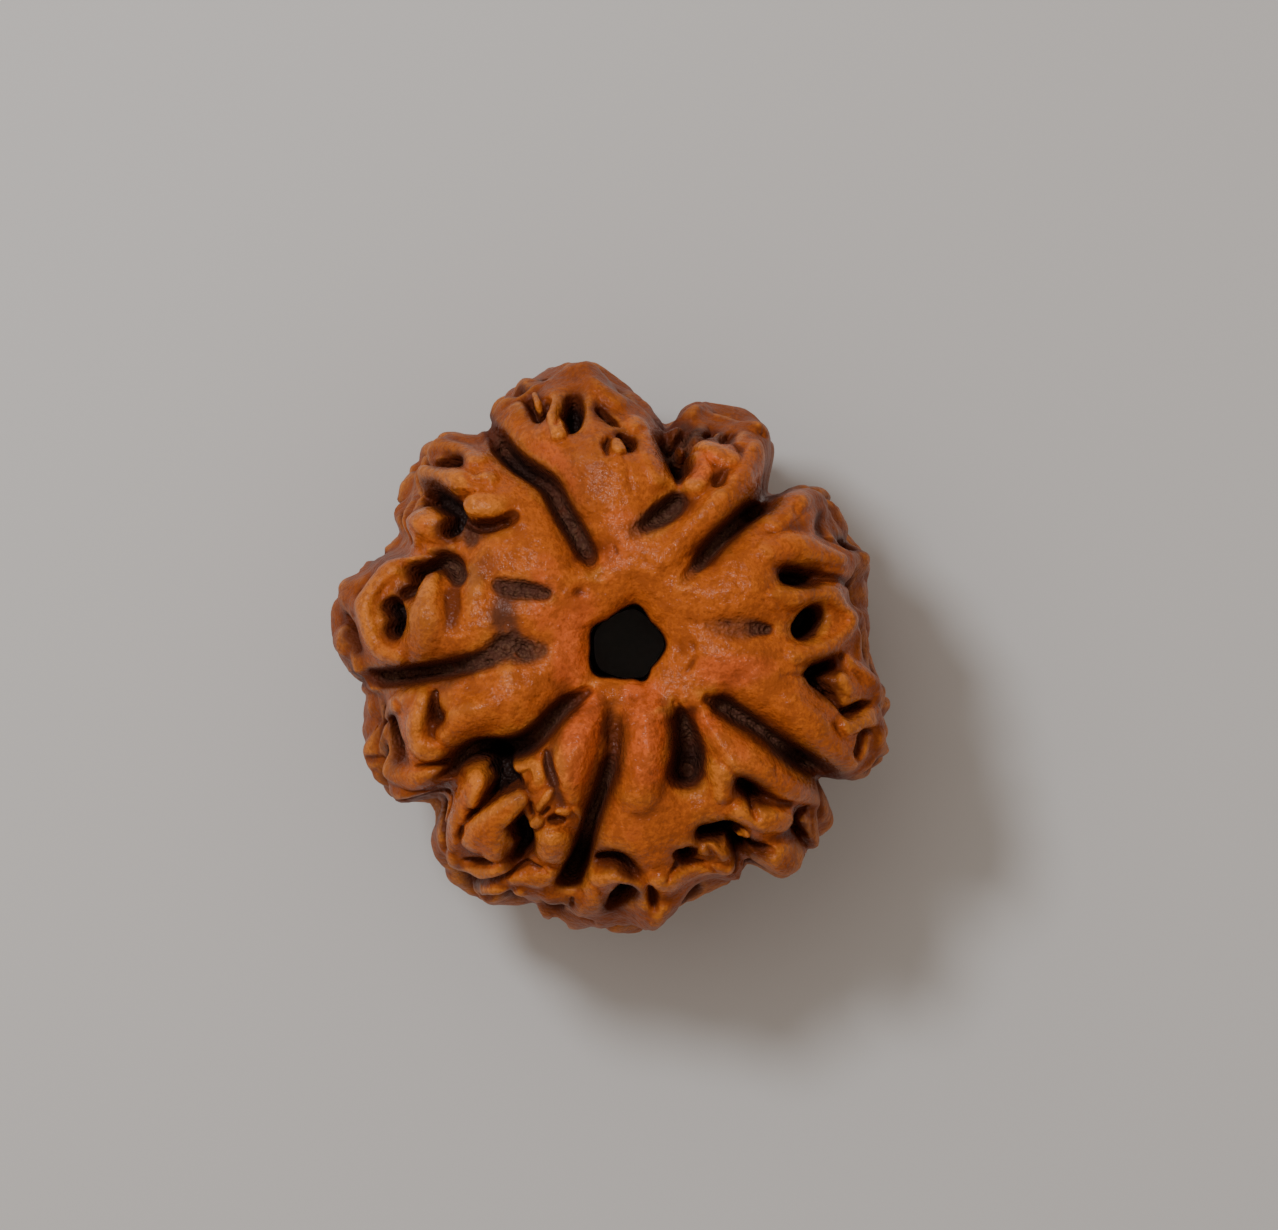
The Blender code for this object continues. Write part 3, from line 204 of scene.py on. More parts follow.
# Pits of the lobes seen from above: x, y, half width, depth along each pit
PITS = (
    ((-7.40, 7.86, 0.20, 0.60), (-6.60, 7.95, 0.30, 1.50)),
    ((-8.10, 6.62, 0.30, 1.20), (-7.55, 6.62, 0.38, 1.60), (-7.00, 6.25, 0.40, 1.60),
     (-6.60, 5.90, 0.38, 1.50), (-6.70, 5.40, 0.34, 1.40), (-6.92, 5.05, 0.26, 1.20)),
    ((-6.15, 5.50, 0.22, 0.90), (-5.60, 5.24, 0.22, 0.90), (-5.00, 5.22, 0.20, 0.80),
     (-4.40, 5.40, 0.20, 0.50)),
    ((-8.40, 3.30, 0.24, 1.00), (-8.45, 2.75, 0.26, 1.00), (-8.90, 2.42, 0.26, 0.90)),
    ((-9.35, 1.85, 0.38, 1.60), (-9.15, 1.30, 0.38, 1.90), (-9.28, 0.80, 0.34, 1.70)),
    ((-11.35, 1.15, 0.22, 0.70), (-11.15, 0.60, 0.30, 1.00), (-10.98, 0.05, 0.24, 0.90)),
    ((-4.60, 2.65, 0.34, 0.45), (-3.60, 2.45, 0.38, 0.60), (-2.70, 2.30, 0.30, 0.40)),
    ((-9.75, -3.35, 0.26, 1.00), (-9.60, -3.85, 0.36, 1.40), (-9.40, -4.30, 0.34, 1.40),
     (-9.10, -4.65, 0.22, 0.90)),
    ((-7.55, -2.00, 0.18, 0.50), (-7.50, -2.55, 0.20, 0.70), (-7.38, -3.00, 0.22, 0.90)),
    ((-4.80, -4.80, 0.52, 1.90), (-4.60, -5.40, 0.60, 2.00), (-4.20, -5.85, 0.46, 1.90)),
    ((-4.85, -5.80, 0.40, 1.70), (-5.15, -6.40, 0.34, 1.50), (-5.45, -6.85, 0.24, 1.10),
     (-5.85, -7.30, 0.20, 0.60)),
    ((-3.90, -7.45, 0.32, 1.40), (-3.70, -7.95, 0.40, 1.60), (-3.60, -8.45, 0.36, 1.50),
     (-3.95, -9.05, 0.26, 1.10)),
    ((-0.35, -9.25, 0.20, 0.90), (0.15, -9.15, 0.26, 1.20), (0.60, -9.25, 0.28, 1.20),
     (1.10, -9.70, 0.20, 0.80)),
    ((0.92, -10.60, 0.30, 1.40), (0.62, -10.95, 0.40, 1.50), (0.20, -11.40, 0.28, 1.00)),
    ((3.05, -8.90, 0.22, 0.70), (3.42, -9.05, 0.34, 1.30)),
    ((5.75, -5.80, 0.26, 1.20), (6.10, -6.08, 0.32, 1.30), (6.50, -6.38, 0.22, 0.90)),
    ((4.15, -8.05, 0.30, 1.60), (4.75, -8.00, 0.36, 1.80), (5.35, -8.00, 0.38, 1.90),
     (5.72, -8.50, 0.40, 1.90), (5.88, -9.05, 0.28, 1.50)),
    ((5.85, -8.75, 0.26, 1.40), (6.35, -8.55, 0.22, 1.00), (6.80, -8.42, 0.14, 0.50)),
    ((8.75, -7.25, 0.18, 0.50), (8.28, -7.38, 0.20, 0.70), (8.12, -7.70, 0.22, 0.90),
     (8.35, -8.10, 0.20, 0.70)),
    ((7.75, 3.12, 0.32, 1.30), (8.25, 3.05, 0.38, 1.50), (8.80, 3.02, 0.26, 1.10)),
    ((8.45, 0.85, 0.42, 1.80), (8.78, 1.12, 0.52, 2.10), (9.00, 1.40, 0.42, 1.90)),
    ((9.75, -0.68, 0.22, 1.20), (9.30, -0.88, 0.28, 1.50), (8.95, -1.15, 0.34, 1.60),
     (9.20, -1.50, 0.26, 1.20), (9.65, -2.00, 0.18, 0.80)),
    ((10.20, -2.72, 0.20, 0.70), (10.75, -2.42, 0.18, 0.50)),
    ((3.10, 9.35, 0.34, 1.40), (3.45, 9.95, 0.26, 0.80)),
    ((3.12, 8.40, 0.28, 1.20), (3.20, 7.95, 0.24, 1.00)),
    ((4.35, 9.58, 0.22, 1.10), (4.65, 9.75, 0.24, 1.20)),
    ((2.95, 6.28, 0.38, 1.00), (2.60, 5.95, 0.46, 1.15), (2.15, 5.60, 0.42, 1.00),
     (1.60, 5.20, 0.30, 0.60)),
    ((-3.35, 10.75, 0.26, 0.80), (-3.15, 10.35, 0.30, 1.00), (-3.05, 10.05, 0.24, 0.90)),
    ((-1.48, 10.60, 0.32, 1.30), (-1.50, 10.20, 0.44, 1.90), (-1.62, 9.80, 0.42, 1.80)),
    ((-0.25, 10.22, 0.22, 0.90), (0.20, 9.90, 0.20, 0.70)),
    ((0.62, 9.15, 0.20, 0.80), (0.90, 8.90, 0.24, 0.90)),
)

# Fingers and knobs that stand proud, as rounded bodies: x, y, half width, level of the crest
FINGERS = (
    ((-5.05, 9.95, 0.50, 0.05), (-4.50, 10.60, 0.60, 0.15), (-3.50, 11.45, 0.60, 0.20),
     (-2.20, 11.75, 0.75, 0.25), (-0.90, 11.60, 0.80, 0.25), (0.20, 10.90, 0.80, 0.20)),
    ((1.35, 10.00, 0.60, 0.15), (1.72, 9.20, 0.60, 0.18), (1.95, 8.20, 0.60, 0.15),
     (2.20, 7.30, 0.50, 0.05)),
    ((2.95, 10.25, 0.36, 0.10), (3.90, 10.55, 0.40, 0.20), (5.20, 10.15, 0.55, 0.25),
     (6.20, 9.50, 0.65, 0.25), (6.90, 8.60, 0.70, 0.20)),
    ((2.00, 3.30, 0.50, 0.05), (3.55, 4.85, 0.58, 0.35), (4.90, 6.15, 0.62, 0.42),
     (6.00, 7.35, 0.62, 0.38), (6.50, 8.30, 0.70, 0.30)),
    ((4.20, 8.80, 0.55, 0.22), (4.70, 8.40, 0.60, 0.20), (5.30, 8.00, 0.50, 0.20)),
    ((3.85, 8.30, 0.42, 0.15), (3.95, 7.60, 0.50, 0.15), (3.70, 7.00, 0.50, 0.10)),
    ((7.10, 5.65, 0.75, 0.15), (8.00, 6.40, 0.70, 0.25), (8.75, 6.65, 0.55, 0.20),
     (9.30, 6.40, 0.42, 0.10)),
    ((9.75, 5.90, 0.42, 0.12), (10.00, 5.35, 0.42, 0.10), (10.25, 4.90, 0.38, 0.05)),
    ((7.00, 4.15, 0.80, 0.12), (7.90, 4.28, 0.75, 0.28), (8.80, 4.22, 0.62, 0.30),
     (9.70, 3.92, 0.52, 0.24)),
    ((7.20, 2.10, 0.55, 0.12), (7.90, 2.20, 0.50, 0.22), (8.70, 2.28, 0.42, 0.22),
     (9.50, 2.30, 0.42, 0.26), (10.15, 1.90, 0.45, 0.24), (10.40, 1.20, 0.42, 0.20),
     (10.20, 0.50, 0.42, 0.18), (9.70, 0.02, 0.42, 0.18), (8.90, -0.10, 0.45, 0.18),
     (8.00, -0.20, 0.55, 0.12)),
    ((10.80, 3.90, 0.45, 0.10), (11.00, 3.40, 0.42, 0.10)),
    ((10.90, 2.40, 0.40, 0.10), (11.00, 1.60, 0.40, 0.10)),
    ((10.95, 0.50, 0.40, 0.10), (10.95, -0.30, 0.40, 0.05)),
    ((7.70, -2.60, 0.95, 0.12), (8.60, -3.40, 0.90, 0.26), (9.25, -4.25, 0.75, 0.24),
     (9.90, -4.90, 0.60, 0.15)),
    ((10.50, -0.60, 0.40, 0.10), (11.00, -1.20, 0.42, 0.15), (11.35, -2.00, 0.42, 0.15)),
    ((10.10, -3.20, 0.42, 0.20), (10.80, -2.95, 0.40, 0.20), (11.40, -2.85, 0.42, 0.15)),
    ((11.25, -3.60, 0.42, 0.15), (11.15, -4.50, 0.48, 0.15), (10.60, -5.10, 0.42, 0.10)),
    ((3.95, -3.00, 0.50, 0.08), (4.80, -3.75, 0.84, 0.36), (6.00, -4.75, 0.86, 0.42),
     (7.40, -5.65, 0.74, 0.34), (8.70, -6.25, 0.68, 0.30), (9.60, -6.75, 0.60, 0.20)),
    ((4.45, -4.90, 0.50, 0.15), (4.85, -5.50, 0.50, 0.25), (4.90, -6.20, 0.45, 0.15)),
    ((5.60, -7.00, 0.55, 0.15), (6.60, -7.25, 0.60, 0.28), (7.50, -7.40, 0.50, 0.25)),
    ((7.02, -8.85, 1.05, 0.55), (7.30, -8.95, 1.10, 0.55)),
    ((9.45, -7.15, 0.48, 0.15), (9.00, -7.90, 0.45, 0.15), (8.75, -8.60, 0.42, 0.10)),
    ((1.35, -1.95, 0.60, 0.10), (1.62, -3.20, 1.10, 0.52), (1.52, -4.60, 1.10, 0.52),
     (1.20, -6.00, 1.10, 0.28)),
    ((2.10, -9.90, 0.45, 0.15), (3.10, -9.95, 0.50, 0.20), (4.40, -9.75, 0.50, 0.20),
     (5.25, -9.45, 0.42, 0.15)),
    ((-0.55, -10.20, 0.42, 0.15), (0.30, -9.95, 0.36, 0.15), (1.15, -10.30, 0.32, 0.15),
     (1.42, -11.00, 0.30, 0.10)),
    ((2.35, -10.95, 0.45, 0.15), (1.75, -11.60, 0.55, 0.20), (0.80, -11.95, 0.50, 0.10)),
    ((-0.80, -10.60, 0.40, 0.15), (-0.70, -11.30, 0.48, 0.15), (-1.40, -11.60, 0.45, 0.10)),
    ((-0.50, -1.90, 0.42, 0.05), (-1.05, -3.00, 0.84, 0.40), (-1.40, -4.30, 0.98, 0.48),
     (-1.55, -5.40, 0.62, 0.38), (-1.45, -6.30, 0.34, 0.20)),
    ((-6.15, -6.50, 0.60, 0.30), (-6.75, -7.40, 0.66, 0.30), (-6.85, -8.30, 0.55, 0.22)),
    ((-4.70, -7.40, 0.60, 0.32), (-5.10, -8.10, 0.80, 0.36), (-5.00, -8.60, 0.66, 0.30)),
    ((-2.35, -8.35, 0.88, 0.42), (-2.40, -8.65, 0.88, 0.42)),
    ((-3.90, -10.10, 0.42, 0.15), (-3.10, -10.15, 0.52, 0.25), (-2.50, -9.95, 0.48, 0.20)),
    ((-6.70, -9.00, 0.40, 0.15), (-6.40, -9.55, 0.32, 0.15), (-5.40, -9.60, 0.32, 0.20),
     (-4.50, -9.40, 0.32, 0.15)),
    ((-7.00, -9.80, 0.42, 0.10), (-6.00, -10.40, 0.42, 0.15), (-4.80, -10.30, 0.40, 0.15),
     (-3.90, -10.60, 0.38, 0.10)),
    ((-7.55, -7.60, 0.35, 0.05), (-7.50, -8.50, 0.38, 0.10), (-7.30, -9.40, 0.38, 0.10)),
    ((-5.20, -2.70, 0.90, 0.10), (-6.10, -3.10, 0.85, 0.20), (-6.90, -3.70, 0.60, 0.20)),
    ((-8.10, -2.20, 0.48, 0.20), (-8.30, -3.10, 0.58, 0.30), (-8.20, -4.00, 0.58, 0.30),
     (-7.40, -4.50, 0.48, 0.20)),
    ((-8.60, -2.15, 0.42, 0.18), (-9.40, -2.45, 0.42, 0.18), (-10.00, -2.80, 0.38, 0.15),
     (-10.25, -3.60, 0.36, 0.10), (-10.20, -4.50, 0.34, 0.10)),
    ((-9.70, -4.98, 0.36, 0.10), (-9.20, -5.20, 0.45, 0.20), (-8.30, -5.60, 0.50, 0.26),
     (-7.40, -5.50, 0.45, 0.20)),
    ((-9.90, -5.60, 0.34, 0.05), (-9.20, -6.15, 0.38, 0.10), (-8.20, -6.35, 0.38, 0.10)),
    ((-7.70, 2.20, 0.72, 0.20), (-7.80, 1.30, 0.98, 0.28), (-7.95, 0.40, 0.95, 0.12),
     (-8.20, -0.30, 0.65, 0.00)),
    ((-8.30, 3.88, 0.40, 0.18), (-9.30, 3.50, 0.50, 0.25), (-10.00, 2.70, 0.55, 0.28),
     (-10.28, 1.80, 0.52, 0.30), (-10.20, 0.80, 0.46, 0.25), (-9.90, -0.05, 0.48, 0.20),
     (-9.20, -0.45, 0.48, 0.15)),
    ((-10.60, 3.00, 0.40, 0.10), (-11.35, 2.40, 0.42, 0.10), (-11.70, 1.60, 0.32, 0.05),
     (-11.72, 0.70, 0.30, 0.05), (-11.40, -0.10, 0.38, 0.10), (-10.90, -0.80, 0.40, 0.05)),
    ((-5.85, 3.20, 0.50, 0.00), (-5.75, 2.50, 0.70, 0.08), (-5.70, 1.70, 0.60, -0.05)),
    ((-8.55, 7.15, 0.38, 0.12), (-7.90, 7.42, 0.40, 0.28), (-7.10, 7.38, 0.44, 0.38),
     (-6.40, 7.12, 0.45, 0.36), (-5.70, 6.95, 0.42, 0.25), (-5.20, 7.20, 0.50, 0.12)),
    ((-8.00, 8.30, 0.36, 0.10), (-7.30, 8.55, 0.42, 0.20), (-6.40, 8.65, 0.46, 0.20),
     (-5.70, 8.20, 0.48, 0.15)),
    ((-8.50, 4.95, 0.48, 0.15), (-8.20, 5.50, 0.72, 0.36), (-7.60, 5.30, 0.70, 0.32),
     (-7.10, 4.75, 0.48, 0.15)),
    ((-8.40, 4.10, 0.25, 0.05), (-7.60, 4.22, 0.28, 0.10), (-6.90, 4.30, 0.28, 0.10)),
    ((-9.05, 5.20, 0.30, 0.00), (-9.08, 6.10, 0.30, 0.00), (-8.90, 7.00, 0.30, 0.05)),
)

# Tongues, nubs and threads that reach over the pits: x, y, half width, level of the crest
TONGUES = (
    ((-2.15, 9.15, 0.34, 0.05), (-2.35, 9.85, 0.28, -0.05), (-2.42, 10.35, 0.24, -0.25)),
    ((0.38, 8.75, 0.26, 0.00), (0.46, 8.50, 0.30, 0.08)),
    ((4.10, 9.95, 0.20, -0.30), (3.95, 9.55, 0.20, -0.30), (4.30, 9.25, 0.20, -0.25),
     (4.80, 9.35, 0.20, -0.25), (4.98, 9.70, 0.18, -0.30)),
    ((10.00, -1.35, 0.36, -0.10), (10.20, -1.70, 0.32, -0.10)),
    ((4.35, -8.80, 0.45, -0.05), (4.70, -9.00, 0.42, -0.05)),
    ((-5.74, -5.66, 0.50, 0.15), (-6.10, -6.40, 0.55, 0.30)),
    ((-3.75, -6.42, 0.36, 0.12), (-4.50, -7.00, 0.50, 0.28), (-5.20, -7.60, 0.62, 0.36),
     (-5.80, -8.20, 0.70, 0.34)),
    ((-3.80, -5.05, 0.26, -0.15), (-3.35, -4.85, 0.32, 0.00), (-2.95, -5.10, 0.34, 0.05),
     (-2.95, -5.60, 0.28, -0.05), (-3.15, -5.90, 0.24, -0.15)),
    ((-7.62, 3.05, 0.40, 0.08), (-7.70, 2.30, 0.60, 0.20)),
    ((-9.30, 2.24, 0.16, -1.10), (-8.65, 2.05, 0.16, -0.90)),
    ((-5.62, 6.10, 0.52, 0.34), (-4.95, 6.15, 0.56, 0.20), (-4.20, 6.35, 0.55, -0.15)),
)

# Small pits, slots and creases that only the fine surface can carry: x, y, half width, depth
FINE_PITS = (
    ((-7.85, 7.86, 0.10, 0.30), (-7.40, 7.86, 0.13, 0.45)),
    ((-7.30, 8.85, 0.16, 0.20), (-7.22, 8.80, 0.16, 0.20)),
    ((-7.86, 8.60, 0.14, 0.20), (-7.80, 8.50, 0.14, 0.20)),
    ((-8.75, 6.85, 0.10, 0.25), (-8.86, 6.20, 0.11, 0.35), (-8.88, 5.50, 0.11, 0.35),
     (-9.00, 4.85, 0.09, 0.25)),
    ((-5.95, 7.25, 0.08, 0.18), (-5.70, 6.98, 0.10, 0.25), (-5.25, 6.98, 0.14, 0.30)),
    ((-8.35, 6.75, 0.12, 0.40), (-8.15, 6.60, 0.16, 0.70)),
    ((-4.40, 5.42, 0.12, 0.40), (-4.00, 5.62, 0.14, 0.35)),
    ((-5.70, 6.55, 0.07, 0.16), (-6.10, 6.45, 0.08, 0.20)),
    ((-8.40, 4.30, 0.08, 0.20), (-7.90, 4.15, 0.10, 0.30), (-7.45, 4.00, 0.12, 0.40)),
    ((-6.20, 4.95, 0.34, 0.35), (-5.95, 4.60, 0.32, 0.35)),
    ((-10.72, 2.42, 0.11, 0.25), (-10.66, 2.34, 0.11, 0.25)),
    ((-11.42, 2.25, 0.15, 0.18), (-11.35, 2.10, 0.13, 0.15)),
    ((-10.95, 1.45, 0.10, 0.14), (-10.88, 1.40, 0.10, 0.14)),
    ((-11.45, 1.30, 0.10, 0.40), (-11.30, 0.90, 0.12, 0.50)),
    ((-6.95, 2.60, 0.45, 0.16), (-6.90, 2.00, 0.50, 0.20), (-6.60, 1.30, 0.45, 0.14)),
    ((-10.30, -1.03, 0.07, 0.25), (-9.80, -1.05, 0.07, 0.25)),
    ((-4.30, 1.95, 0.36, 0.16), (-4.40, 1.25, 0.42, 0.20), (-4.25, 0.70, 0.36, 0.18)),
    ((-9.38, -2.42, 0.13, 0.25), (-9.22, -2.60, 0.15, 0.35), (-9.25, -2.80, 0.12, 0.25)),
    ((-10.35, -3.25, 0.10, 0.25), (-10.15, -3.42, 0.12, 0.35)),
    ((-10.25, -4.75, 0.11, 0.30), (-9.98, -5.10, 0.10, 0.28), (-9.75, -5.50, 0.12, 0.40),
     (-9.36, -5.95, 0.10, 0.35)),
    ((-8.10, -5.05, 0.07, 0.18), (-7.60, -5.00, 0.09, 0.30), (-7.10, -4.95, 0.14, 0.70)),
    ((-8.90, -6.50, 0.10, 0.30), (-8.20, -6.62, 0.14, 0.45), (-7.60, -6.72, 0.12, 0.40)),
    ((-6.20, -1.65, 0.30, 0.14), (-5.50, -1.50, 0.34, 0.16)),
    ((-2.62, -4.40, 0.14, 0.50), (-2.50, -5.00, 0.15, 0.55), (-2.22, -5.65, 0.13, 0.40)),
    ((-6.20, -9.15, 0.07, 0.25), (-5.60, -9.25, 0.14, 0.70), (-5.00, -9.22, 0.08, 0.30)),
    ((-6.00, -9.82, 0.09, 0.35), (-5.40, -9.95, 0.13, 0.50), (-4.70, -9.78, 0.11, 0.40),
     (-4.00, -9.60, 0.09, 0.35), (-3.55, -9.38, 0.09, 0.35)),
    ((-5.45, -10.85, 0.12, 0.30), (-4.80, -10.75, 0.16, 0.45), (-4.15, -10.42, 0.13, 0.35)),
    ((-7.42, -7.95, 0.10, 0.35), (-7.36, -8.45, 0.15, 0.50), (-7.22, -8.85, 0.11, 0.35)),
    ((-7.46, -6.85, 0.07, 0.20), (-7.42, -7.40, 0.07, 0.22), (-7.42, -7.95, 0.08, 0.25)),
    ((-6.35, -8.05, 0.12, 0.35), (-6.25, -7.80, 0.12, 0.40)),
    ((-3.30, -6.60, 0.08, 0.30), (-3.22, -7.05, 0.09, 0.40)),
    ((-2.85, -7.10, 0.07, 0.25), (-2.55, -6.80, 0.07, 0.25)),
    ((-2.42, -7.32, 0.12, 0.50), (-2.20, -7.28, 0.13, 0.60), (-1.95, -7.35, 0.09, 0.35)),
    ((-2.50, -7.75, 0.06, 0.18), (-1.90, -7.70, 0.06, 0.22), (-1.45, -7.85, 0.06, 0.20)),
    ((-3.55, -9.38, 0.09, 0.30), (-3.10, -9.58, 0.08, 0.28), (-2.60, -9.85, 0.07, 0.24)),
    ((-1.62, -11.05, 0.08, 0.30), (-1.60, -11.30, 0.08, 0.30)),
    ((-1.15, -11.86, 0.08, 0.35), (-0.72, -11.90, 0.08, 0.30)),
    ((1.83, -10.15, 0.09, 0.45), (1.93, -10.50, 0.13, 0.75), (1.98, -10.90, 0.10, 0.50)),
    ((2.50, -9.75, 0.07, 0.20), (2.95, -9.35, 0.09, 0.30)),
    ((3.60, -9.40, 0.09, 0.30), (4.10, -9.45, 0.08, 0.25), (4.60, -9.70, 0.07, 0.20)),
    ((4.35, -8.60, 0.12, 0.35), (4.60, -9.05, 0.12, 0.35), (4.45, -9.15, 0.10, 0.25)),
    ((6.18, -6.40, 0.12, 0.70), (6.15, -6.80, 0.11, 0.55), (6.25, -7.12, 0.09, 0.30)),
    ((6.60, -6.42, 0.13, 0.35), (7.20, -6.62, 0.15, 0.28), (7.90, -6.75, 0.12, 0.20)),
    ((9.00, -7.20, 0.18, 0.20), (9.50, -7.45, 0.22, 0.25)),
    ((8.35, -8.10, 0.13, 0.45), (8.55, -8.45, 0.11, 0.35)),
    ((8.90, 3.15, 0.12, 0.55), (9.50, 3.02, 0.11, 0.45), (10.00, 2.95, 0.11, 0.40),
     (10.45, 2.82, 0.12, 0.35), (10.90, 2.90, 0.09, 0.25)),
    ((9.65, -2.00, 0.11, 0.55), (9.90, -2.40, 0.11, 0.55), (10.05, -2.75, 0.08, 0.35)),
    ((10.15, -2.78, 0.15, 0.60), (10.60, -2.52, 0.13, 0.55), (11.05, -2.28, 0.07, 0.25)),
    ((10.95, -3.42, 0.08, 0.25), (10.65, -3.52, 0.12, 0.50), (10.48, -3.95, 0.12, 0.50),
     (10.28, -4.40, 0.12, 0.45)),
    ((10.55, -1.10, 0.14, 0.18), (10.65, -1.35, 0.12, 0.15)),
    ((8.55, -1.10, 0.10, 0.30), (8.10, -1.15, 0.07, 0.15), (7.40, -1.20, 0.09, 0.10)),
    ((9.22, 5.70, 0.22, 0.30), (9.28, 5.35, 0.26, 0.40), (9.50, 5.12, 0.18, 0.28)),
    ((9.10, 5.05, 0.07, 0.15), (9.55, 4.88, 0.08, 0.22), (10.10, 4.50, 0.08, 0.22),
     (10.30, 4.10, 0.07, 0.15)),
    ((7.95, 5.85, 0.14, 0.18), (8.00, 5.75, 0.14, 0.18)),
    ((5.40, 9.45, 0.16, 0.60), (5.20, 9.15, 0.22, 0.75), (5.00, 9.05, 0.14, 0.45)),
    ((5.30, 8.90, 0.08, 0.22), (5.65, 8.45, 0.09, 0.25)),
    ((3.20, 10.40, 0.28, 0.45), (3.60, 10.20, 0.30, 0.50)),
    ((3.95, 9.30, 0.12, 0.40), (3.60, 9.00, 0.12, 0.45), (3.45, 8.70, 0.12, 0.45)),
    ((4.65, 7.00, 0.12, 0.45), (4.80, 7.12, 0.17, 0.60), (4.92, 7.38, 0.12, 0.35)),
    ((-2.62, 10.55, 0.12, 0.60), (-2.80, 10.20, 0.15, 0.80), (-3.00, 10.00, 0.14, 0.70)),
    ((-3.60, 10.72, 0.12, 0.40), (-3.40, 10.55, 0.14, 0.60)),
    ((-2.10, 10.05, 0.12, 0.60), (-2.20, 9.55, 0.09, 0.30)),
    ((0.05, 8.95, 0.10, 0.45), (-0.08, 8.65, 0.14, 0.65), (-0.02, 8.30, 0.10, 0.40)),
    ((0.98, 8.90, 0.14, 0.60), (0.95, 8.62, 0.11, 0.45)),
    ((0.20, 9.90, 0.13, 0.50), (0.52, 9.70, 0.07, 0.25)),
    ((1.28, 9.42, 0.11, 0.22), (1.50, 9.60, 0.12, 0.25)),
    ((-3.40, 8.75, 0.24, 0.14), (-3.00, 8.35, 0.28, 0.18), (-2.50, 7.95, 0.24, 0.14)),
    ((4.30, -1.00, 0.40, 0.10), (5.40, -1.05, 0.45, 0.15), (6.40, -0.60, 0.35, 0.10)),
    ((0.30, 4.30, 0.06, 0.10), (0.40, 4.00, 0.06, 0.12)),
)

# Fine raised threads and nubs: x, y, half width, level of the crest
FINE_TONGUES = (
    ((-3.22, 10.95, 0.09, -0.15), (-3.08, 10.55, 0.12, -0.15), (-2.92, 10.20, 0.09, -0.25)),
    ((3.05, 8.80, 0.20, 0.00), (3.15, 8.70, 0.20, 0.00)),
    ((-2.90, -6.75, 0.14, 0.00), (-2.60, -6.30, 0.16, 0.10), (-2.38, -6.00, 0.12, 0.05)),
    ((-3.10, -7.45, 0.22, 0.05), (-2.95, -7.35, 0.22, 0.05)),
    ((-2.05, -6.95, 0.18, 0.05), (-1.75, -6.95, 0.18, 0.05)),
    ((-1.35, -6.85, 0.18, 0.05), (-1.10, -7.30, 0.18, 0.05), (-1.20, -7.70, 0.14, 0.00)),
    ((5.80, -8.28, 0.10, -0.60), (5.95, -8.15, 0.14, -0.40), (5.90, -7.95, 0.10, -0.40)),
    ((3.85, -5.50, 0.24, -0.15), (4.00, -5.75, 0.24, -0.05)),
)

# Patches whose floor is a dark crust of grains: x, y, half width, strength
CRUSTS = (
    ((-4.60, 2.65, 0.40, 0.90), (-3.60, 2.45, 0.50, 1.00), (-2.60, 2.32, 0.38, 0.80)),
    ((-2.80, -0.10, 0.42, 0.80), (-3.60, -0.10, 0.66, 1.00), (-4.30, 0.05, 0.70, 1.00),
     (-5.10, -0.40, 0.55, 1.00), (-6.00, -0.70, 0.40, 1.00)),
    ((-6.50, 3.10, 0.45, 1.00), (-6.80, 3.50, 0.42, 1.00)),
    ((-6.30, 5.10, 0.40, 0.60), (-5.90, 4.70, 0.45, 0.80)),
    ((2.95, 6.28, 0.48, 1.00), (2.60, 5.95, 0.56, 1.00), (2.15, 5.60, 0.52, 1.00),
     (1.50, 5.20, 0.50, 0.80), (1.10, 4.95, 0.35, 0.50)),
    ((4.30, 0.90, 0.35, 0.35), (5.20, 0.85, 0.50, 0.60), (6.00, 0.85, 0.48, 0.75),
     (6.80, 0.80, 0.22, 0.90)),
    ((3.20, 2.80, 0.22, 0.30), (3.90, 3.60, 0.34, 0.80)),
    ((7.20, -4.30, 0.34, 0.70), (8.10, -5.00, 0.34, 0.70)),
    ((3.40, 8.90, 0.36, 0.70), (3.60, 9.90, 0.40, 0.80), (4.20, 9.30, 0.30, 0.60)),
)
